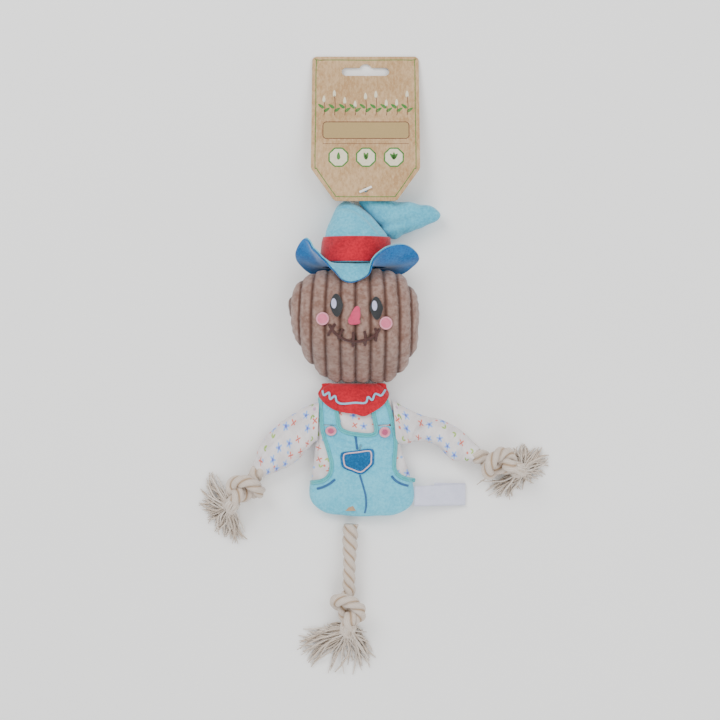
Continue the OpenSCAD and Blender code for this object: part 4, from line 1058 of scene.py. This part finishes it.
pocket_outline = [(-11.2, -0.6), (-2, 0.6), (7.4, 1.7), (9.4, -0.4), (9.5, -4.5), (9.1, -8.4), (5.5, -12.3),
                  (0.8, -15.4), (-5.5, -13.4), (-11.4, -10.8), (-12.8, -6.8), (-13.0, -2.6)]
pocket_c = (-1.4, -6.2)
pocket_piece = patch("pocket_cloth", "torso", pocket_c, ray_outline(pocket_outline, pocket_c, 4), 0.9, 0.45,
                     turns=110, dome=0.25)
dressed(pocket_piece, pocket_cloth, "pocket_cloth", "pocket")
pocket_seam = [(mix(pocket_c[0], x, 0.82), mix(pocket_c[1], y, 0.82)) for x, y in pocket_outline]
stitched_line("pocket_satin", "torso", [pocket_seam], 0.9, 0.5, 1.2, blush_satin, "pale_thread",
              "pocket_stitching", closed=True)
for name, paths, width, height in (
        ("chest", [[(-3.1, 10.2), (-2.4, 6), (-1.9, 1.2)]], 1.6, 0.7),
        ("fly", [[(-0.1, -16), (1.9, -22.5), (3.8, -30), (4.1, -37), (3.2, -42)]], 1.3, 0.6),
        ("side_pocket", [[(-29.0, -25.3), (-25, -24.2), (-20.4, -21.8), (-16.6, -18.8)],
                         [(21.0, -16.4), (23.8, -19.6), (28, -22.0), (32.6, -23.4)]], 1.6, 0.7)):
    stitched_line(name + "_satin", "torso", paths, width, height, 0.4, navy_satin, "blue_thread",
                  name + "_stitching")

for name, at, (half_w, half_h) in (("left", (-19.4, 13.5), (3.7, 3.1)), ("right", (16.6, 12.7), (3.75, 3.6))):
    disc = patch(name + "_button_satin", "torso", at, rounded(half_w, half_h), 1.5, 0.5, dome=0.25)
    dressed(disc, button_satin, "pink_thread", name + "_button")
    stitched_line(name + "_button_rim", "torso", [circle(at, half_w * 0.82, half_h * 0.82)], 1.3, 0.9, 1.5,
                  cheek_rim_satin, "pink_thread", closed=True)
    heart = patch(name + "_button_heart", "torso", at, rounded(half_w * 0.5, half_h * 0.5), 0.4, 1.8)
    dressed(heart, button_centre_satin, "rose_thread")

scarf_outline = [(-24.8, 45.0), (-25.3, 42.8), (-27.9, 37.8), (-23.9, 32.3), (-17.7, 28), (-9.7, 25.8),
                 (-3.5, 25.0), (2.2, 23.5), (6.2, 25.0), (15, 30.5), (19.2, 37.0), (17.7, 41.6), (16.4, 45.0),
                 (8, 45.1), (-4, 45.1), (-15, 45.1)]
scarf_c = (-4.6, 35)


def scarf_folds(x, y):
    return (crease(x, y, [(-22, 44), (-17, 36), (-10, 30)], 1.4, 0.9)
            + crease(x, y, [(13, 44), (8, 36), (4, 29)], 1.4, 0.8) + 0.3 * ripple(x, y, 6, 13))


scarf = patch("neckerchief_cloth", "torso", scarf_c, ray_outline(scarf_outline, scarf_c), 1.2, 1.4, turns=180,
              rings=24, dome=0.2, shape=scarf_folds)
dressed(scarf, scarf_cloth, "red_cloth", "neckerchief")
zigzag = [(-25.2, 40.6), (-24.2, 37.4), (-22.2, 38.4), (-20.6, 39.0), (-20.0, 34.8), (-18.2, 36.0),
          (-16.5, 36.8), (-15.4, 33.2), (-11.5, 31.7), (-3.5, 32.4), (3.6, 32.4), (5.2, 36.2), (6.8, 35.2),
          (8.3, 34.3), (10.0, 38.2), (12.2, 37.8), (14.4, 37.3), (17.2, 41.2)]
stitched_line("neckerchief_satin", "torso", [zigzag], 1.4, 0.7, 2.6, pale_satin, "trim_blue",
              "neckerchief_trim", steps=5)


# --- Side label ---------------------------------------------------------------------

def thick_grid(grid, thick):
    """A closed sheet from rows of points."""
    g = np.array(grid, float)
    n = unit_rows(np.cross(np.gradient(g, axis=0), np.gradient(g, axis=1)))
    rows, columns = g.shape[:2]
    verts = np.concatenate([(g + n * thick / 2).reshape(-1, 3), (g - n * thick / 2).reshape(-1, 3)])
    count = rows * columns
    faces = lattice(rows, columns, wrap=False) + [f[::-1] for f in lattice(rows, columns, False, count)]
    rim = ([(0, j) for j in range(columns)] + [(i, columns - 1) for i in range(1, rows)]
           + [(rows - 1, j) for j in range(columns - 2, -1, -1)] + [(i, 0) for i in range(rows - 2, 0, -1)])
    ids = [i * columns + j for i, j in rim]
    faces += [(a, b, b + count, a + count) for a, b in zip(ids, ids[1:] + ids[:1])]
    return verts, faces


label_at = joint("label_fold")
label_reach, label_wide, label_drop = 35.0, 13.4, math.radians(12)


def ribbon_point(run, across):
    """A place on the folded ribbon: out along the top run, round the fold and back underneath."""
    turn = 0.45
    out = run if run < label_reach else 2 * label_reach + math.pi * turn - run
    fan = across * (1 + 0.10 * out / label_reach) + 0.7 * out / label_reach
    angle = min(max((run - label_reach) / turn, 0), math.pi)
    drop = -turn + turn * math.cos(angle)
    reach = min(out, label_reach) + turn * math.sin(angle)
    if run > label_reach:
        fan += 2.6 * (run - label_reach) / label_reach
    x, z = reach, drop + 0.5 * math.sin(reach / label_reach * 3) * (across / label_wide)
    c, s = math.cos(label_drop), math.sin(label_drop)
    return (label_at[0] + 0.4 + x * c + z * s, label_at[1] + fan, label_at[2] + 0.2 - x * s + z * c)


runs = np.concatenate([np.linspace(0, label_reach, 24), np.linspace(label_reach + 0.1, label_reach + 1.4, 10),
                       np.linspace(label_reach + 3, 2 * label_reach * 0.82, 18)])
grid = [[ribbon_point(run, label_wide * (k / 10 - 0.5)) for k in range(11)] for run in runs]
verts, faces = thick_grid(grid, 0.3)
label = piece("side_label_ribbon", verts, faces, "label")
dressed(label, label_ribbon, "label_satin", "side_label")


# --- Hat ------------------------------------------------------------------------------

head_top = head_c[1] + 35.3
hat_c = np.array([-3.5, head_top + 1.6])
hat_w, hat_depth, felt_t, brim_gap = 44.0, 34.0, 0.8, 0.5
hat_mid_z = hat_depth / 2 + 1.4
base_gap = 3.0
# Sections up the crown: height, lean to the right, width, middle height and depth, the last three as shares
crown_sections = np.array([[0, 0, 1, 1, 1], [7.5, 0.4, 1, 0.98, 0.98], [15.5, 1.2, 0.98, 0.93, 0.93],
                           [21.5, 0.1, 0.87, 0.84, 0.84], [27.5, -1, 0.72, 0.74, 0.74],
                           [33.5, -2.6, 0.53, 0.64, 0.62], [38.5, -4.6, 0.32, 0.55, 0.45],
                           [42, -6.5, 0.04, 0.5, 0.05]])
crown_rows = smooth_path(crown_sections, 8)


def crown_point(o, height, angle):
    """A place on the crown, o outside it, at a height over its base and an angle round it."""
    lean, wide, middle, deep = (float(np.interp(height, crown_rows[:, 0], crown_rows[:, k]))
                                for k in range(1, 5))
    w, d = max(wide * hat_w / 2 + o, 0.05), max(deep * hat_depth / 2 + o, 0.05)
    a = math.radians(angle)
    return np.array([hat_c[0] + lean + w * math.cos(a), hat_c[1] + base_gap + height,
                     max(middle * hat_mid_z, d + 0.4) + d * math.sin(a)])


crown_turns = 150


def crown_skin(o, low, high, rings, shape):
    """Points round the crown, ring by ring, from one height to another, raised by shape(x, y, z)."""
    heights = [mix(low, high, math.sin(math.radians(90 * i / rings))) for i in range(rings + 1)]
    verts = np.array([crown_point(o, height, 360 * j / crown_turns)
                      for height in heights for j in range(crown_turns)])
    a = np.radians(np.tile(360 * np.arange(crown_turns) / crown_turns, rings + 1))
    out = np.stack([np.cos(a), 0 * a, np.sin(a)], axis=1)
    return verts + out * np.reshape(shape(*verts.T), (-1, 1))


def crown_folds(x, y, z):
    h = crease(x, y, [(-12, 163), (-3, 160.5), (5, 154.5), (11.5, 147.5), (16, 141)], 1.3, 1.3)
    h = h + crease(x, y, [(-22, 141), (-12, 145), (-2, 143)], 2.0, 0.6)
    return h * (z > hat_mid_z) + 0.4 * ripple(x, y, 8, 15)


crown_top, crown_rings = 41.8, 70
verts = crown_skin(0, 0, crown_top, crown_rings, crown_folds)
crown = piece("hat_crown_plush", verts, capped(crown_rings + 1, crown_turns), "head")
dressed(crown, hat_plush, "sky_felt", "hat_crown")

band_low, band_top, band_rings = 0.3, 17.0, 16
outer = crown_skin(1.3, band_low, band_top, band_rings, lambda x, y, z: 0.25 * ripple(x, y, 9, 9))
inner = crown_skin(0.5, band_low, band_top, band_rings, lambda x, y, z: 0 * x)
band_faces = walled(band_rings + 1, crown_turns)
band = piece("hat_band_plush", np.concatenate([outer, inner]), band_faces, "head")
dressed(band, red_band_plush, "red_cloth", "hat_band")

tip_c = hat_c + np.array([hat_w / 2 + 5.2, 36.4])
tip_radii = [30.5, 17.5, 11, 9, 8.5, 10, 15, 26, 18, 13.6, 13.5, 16, 17, 15, 16.5, 21.5]
tip = Pillow(tip_c, tip_radii, (tip_c[1] - 20, 9, 9), (tip_c[1] + 14, 8.5, 8.5))


def tip_folds(x, y, front):
    fold = crease(x, y, [(12, 150), (24, 152), (38, 156)], 2.2, 0.9 if front else 0)
    return 0.45 * ripple(x, y, 11, 12) + fold


tip_piece = piece("hat_tip_plush", *tip.skin(0, 160, 36, tip_folds)[:2], "head")
dressed(tip_piece, hat_plush, "sky_felt", "hat_tip")

# The brim's outer edge, on a ring of places from the right round the front: x, y and height
brim_rim = np.array([[42.5, 6, 24], [34, 13.5, 33], [22, 12, 38], [13, 4, 42], [9, -6, 41], [-1, -11, 39],
                     [-8, -10, 39], [-14, -4, 41.5], [-21, 3, 42], [-28.5, 11, 38], [-34, 18, 33],
                     [-40, 9, 24], [-37, 1.5, 13], [-28, -5, 4.5], [-16, -8, 2.8], [-3, -9, 2.6],
                     [12, -8, 2.8], [27, -6, 4.5], [37, -1, 13]])
brim_angle = [0, 18, 33, 50, 65, 83, 97, 113, 129, 145, 162, 180, 198, 215, 240, 270, 300, 325, 342, 360]
brim_floor = 2 * felt_t + brim_gap + 0.1


def brim_raw(s, a):
    """A place on the brim's under face, at share s of its width."""
    n = len(brim_rim)
    a = a % 360
    q = a / 360 * n
    i = int(q)
    t = q - i
    r = spline(*(brim_rim[(i + k) % n] for k in (-1, 0, 1, 2)), t)
    u = math.radians(mix(brim_angle[i], brim_angle[i + 1], t))
    inner = np.array([hat_c[0] + (hat_w / 2 - 1) * math.cos(u), hat_c[1],
                      hat_mid_z + (hat_depth / 2 - 1) * math.sin(u)])
    outer = np.array([hat_c[0] + r[0] + 0.4, hat_c[1] + r[1], r[2]])
    late = s * s * 0.75 + s * 0.25
    x, _, z = mix(inner, outer, s)
    y = mix(inner[1], outer[1], late)
    if head.share(x, y, 0.8) < 1:
        if math.sin(u) > -0.05:
            z = max(z, float(head.over(x, y, 0.6)) + 0.9)
        else:
            z = max(brim_floor, min(z, float(head.under(x, y)) - 3))
    return np.array([x, y, z])


brim_turns, brim_rings = 200, 22
brim_base = np.array([[brim_raw(i / brim_rings, 360 * j / brim_turns) for j in range(brim_turns)]
                      for i in range(brim_rings + 1)])
brim_out = -normals(brim_base, True)


def brim_ply(name, low, high, material, slot, node):
    """One felt of the brim between two offsets from its under face."""
    wave = (0.25 * ripple(brim_base[..., 0], brim_base[..., 1], 12, 10)
            * np.linspace(0, 1, brim_rings + 1)[:, None])[..., None]
    verts = np.concatenate([(brim_base + brim_out * (o + wave)).reshape(-1, 3) for o in (high, low)])
    verts[:, 2] = np.maximum(verts[:, 2], 0.1)
    dressed(piece(name, verts, walled(brim_rings + 1, brim_turns), "head"), material, slot, node)


# The lining ply's dark navy is painted shade under the brim.
brim_ply("hat_brim_lining_felt", 0.0, felt_t, brim_shade_navy_plush, "navy_felt", "hat_brim_lining")
brim_ply("hat_brim_top_felt", felt_t + brim_gap, 2 * felt_t + brim_gap, hat_plush, "sky_felt", "hat_brim_top")


# --- Header card ------------------------------------------------------------------------

hole_at = np.array(joint("tag_swing"))
card_tilt = math.atan2(0.1915, 0.9815)
card_t = 0.6


def on_card(x, y, lift):
    """A place on the card's face, from its hole."""
    z = card_t + lift
    c, s = math.cos(card_tilt), math.sin(card_tilt)
    return (hole_at[0] + x, hole_at[1] + y * c + z * s, hole_at[2] - y * s + z * c)


def printed_area(name, points, material, lift=0.03):
    """An inked shape on the card, as thin as ink may be drawn."""
    top = [on_card(x, y, lift) for x, y in points]
    low = [on_card(x, y, 0.0) for x, y in points]
    n = len(points)
    dressed(piece(name, top + low, capped(2, n), "card", smooth=False), material, "kraft_card")


def printed_line(name, points, width, material, closed=False, lift=0.03):
    """An inked line on the card."""
    line = np.array(list(points) + ([points[0], points[1]] if closed else []), float)
    d = unit_rows(np.gradient(line, axis=0))
    side = np.stack([-d[:, 1], d[:, 0]], axis=1) * width / 2
    verts = []
    for p, e in zip(line, side):
        for q, z in ((p + e, lift), (p - e, lift), (p - e, 0.0), (p + e, 0.0)):
            verts.append(on_card(q[0], q[1], z))
    dressed(piece(name, verts, capped(len(line), 4), "card", smooth=False), material, "kraft_card")


def round_box(x0, x1, y0, y1, r, steps=8):
    """The outline of a rectangle with round corners."""
    out = []
    middles = ((x1 - r, y1 - r), (x0 + r, y1 - r), (x0 + r, y0 + r), (x1 - r, y0 + r))
    for (cx, cy), start in zip(middles, (0, 90, 180, 270)):
        for k in range(steps + 1):
            a = math.radians(start + 90 * k / steps)
            out.append((cx + r * math.cos(a), cy + r * math.sin(a)))
    return out


green_ink = printing_ink("green_offset_ink", "#3f7a3a")
brown_ink = printing_ink("brown_offset_ink", "#6b4a3a")
fill_ink = printing_ink("olive_offset_ink", "#a78f63")
cream_ink = printing_ink("cream_offset_ink", "#d9d2b8")
border = smooth_path([(-31, 91), (0, 91), (31, 91), (33.2, 88.8), (33.5, 55), (33.8, 18), (32.6, 14.6),
                      (27, 6), (20.6, -3.2), (18.4, -4.6), (0, -4.7), (-18.4, -4.6), (-20.6, -3.2), (-27, 6),
                      (-32.6, 14.6), (-33.8, 18), (-33.5, 55), (-33.2, 88.8)], 5, closed=True)
printed_line("card_border_ink", [tuple(p) for p in border], 0.55, green_ink, closed=True)
box_shape = round_box(-28.6, 29.2, 35.8, 47.4, 2.4)
printed_area("card_panel_ink", box_shape, fill_ink)
printed_line("card_panel_line_ink", box_shape, 0.6, brown_ink, closed=True, lift=0.05)
printed_line("card_rule_ink", [(x, 32.2) for x in np.linspace(-28.6, 29.2, 24)], 0.35, brown_ink)


def leaf_shape(x, y, size, turn):
    """The outline of a leaf, blunt at one end."""
    c, s = math.cos(turn), math.sin(turn)
    points = []
    for k in range(24):
        t = 2 * math.pi * k / 24
        u, v = size * math.cos(t), 0.42 * size * math.sin(t) * (1 - 0.35 * math.cos(t))
        points.append((x + c * u - s * v, y + s * u + c * v))
    return points


for k, x in enumerate((-18.1, 0.3, 19.0)):
    turns = [math.radians(22.5 + 45 * i) for i in range(8)]
    corners = [(x + 6.8 * math.cos(turn), 22.7 + 6.8 * math.sin(turn)) for turn in turns]
    printed_area(f"card_icon_{k}_ground_ink", corners, cream_ink)
    ring = even(corners + corners[:1], 0.9)[:-1]
    printed_line(f"card_icon_{k}_ring_ink", ring, 1.0, green_ink, closed=True, lift=0.05)
    for m in range(k + 1):
        turn = math.radians(90 + 40 * (m - k / 2))
        leaf = leaf_shape(x + 1.4 * math.cos(turn), 22.2 + 1.4 * math.sin(turn), 2.6, turn)
        printed_area(f"card_icon_{k}_leaf_{m}_ink", leaf, green_ink, 0.06)

for k in range(9):
    x = -28 + 7 * k
    tall = 62 + 4 * math.sin(1.7 * k)
    stem = [(x + 0.6 * math.sin(t * 3), mix(52, tall, t)) for t in np.linspace(0, 1, 9)]
    printed_line(f"card_stem_{k}_ink", stem, 0.5, brown_ink)
    for m, (off, y, turn, ink) in enumerate(((2.0, 56, 0.6, green_ink), (-2.0, 58.5, 2.5, green_ink),
                                             (0, tall + 1.6, 1.57, cream_ink))):
        printed_area(f"card_sprig_{k}_{m}_ink", leaf_shape(x + off, y, 2.4, turn), ink)


# --- Carried-over parts -------------------------------------------------------------------

kept = {"header_card": board, "tag_t_bar": nylon, "tag_filament": nylon, "squeaker": squeaker_shell,
        "head_stuffing": filling, "body_padding": filling, "hat_stuffing": filling,
        "shoulder_rope": rope_cotton, "leg_rope_anchor": rope_cotton, "left_arm_rope": rope_cotton,
        "right_arm_rope": rope_cotton}
for node, material in kept.items():
    frame["nodes"][node].data.materials.clear()
    frame["nodes"][node].data.materials.append(material)


# --- Floor and light ------------------------------------------------------------------------

floor_mesh = bpy.data.meshes.new("floor")
corners = [(x, y, -0.3 * MM) for x, y in ((-3, -3), (3, -3), (3, 3), (-3, 3))]
floor_mesh.from_pydata(corners, [], [(0, 1, 2, 3)])
floor = bpy.data.objects.new("floor", floor_mesh)
bpy.context.scene.collection.objects.link(floor)
# Matt white backdrop paper with a barely seen cloudiness.
paper, node = finish_named("white_backdrop_paper", 0.95, Specular_IOR_Level=0.1)
where = node("TexCoord")["Object"]
cloud = node("TexNoise", {"Vector": where, "Scale": grain / 60, "Detail": 2, "Roughness": 0.6})["Fac"]
white = node("Mix", {0: cloud, 6: "#f6f6f5", 7: "#fbfbfa"}, **painted)[2]
floor.data.materials.append(surfaced(paper, white))


def soft_box(name, place, size, power):
    lamp = bpy.data.lights.new(name, "AREA")
    lamp.shape = "SQUARE"
    lamp.size = size
    lamp.energy = power
    holder = bpy.data.objects.new(name, lamp)
    holder.location = place
    holder.rotation_euler = (Vector((0, 0.06, 0)) - Vector(place)).to_track_quat("-Z", "Y").to_euler()
    bpy.context.scene.collection.objects.link(holder)


soft_box("key_light", (-0.7, 0.9, 1.1), 0.8, 15)
soft_box("fill_light", (0.9, 0.4, 1.2), 1.0, 9)
soft_box("low_light", (0.1, -1.0, 1.0), 1.0, 8)
world = bpy.data.worlds.new("studio")
world.use_nodes = True
world.node_tree.nodes["Background"].inputs["Color"].default_value = (1, 1, 1, 1)
world.node_tree.nodes["Background"].inputs["Strength"].default_value = 0.85
bpy.context.scene.world = world
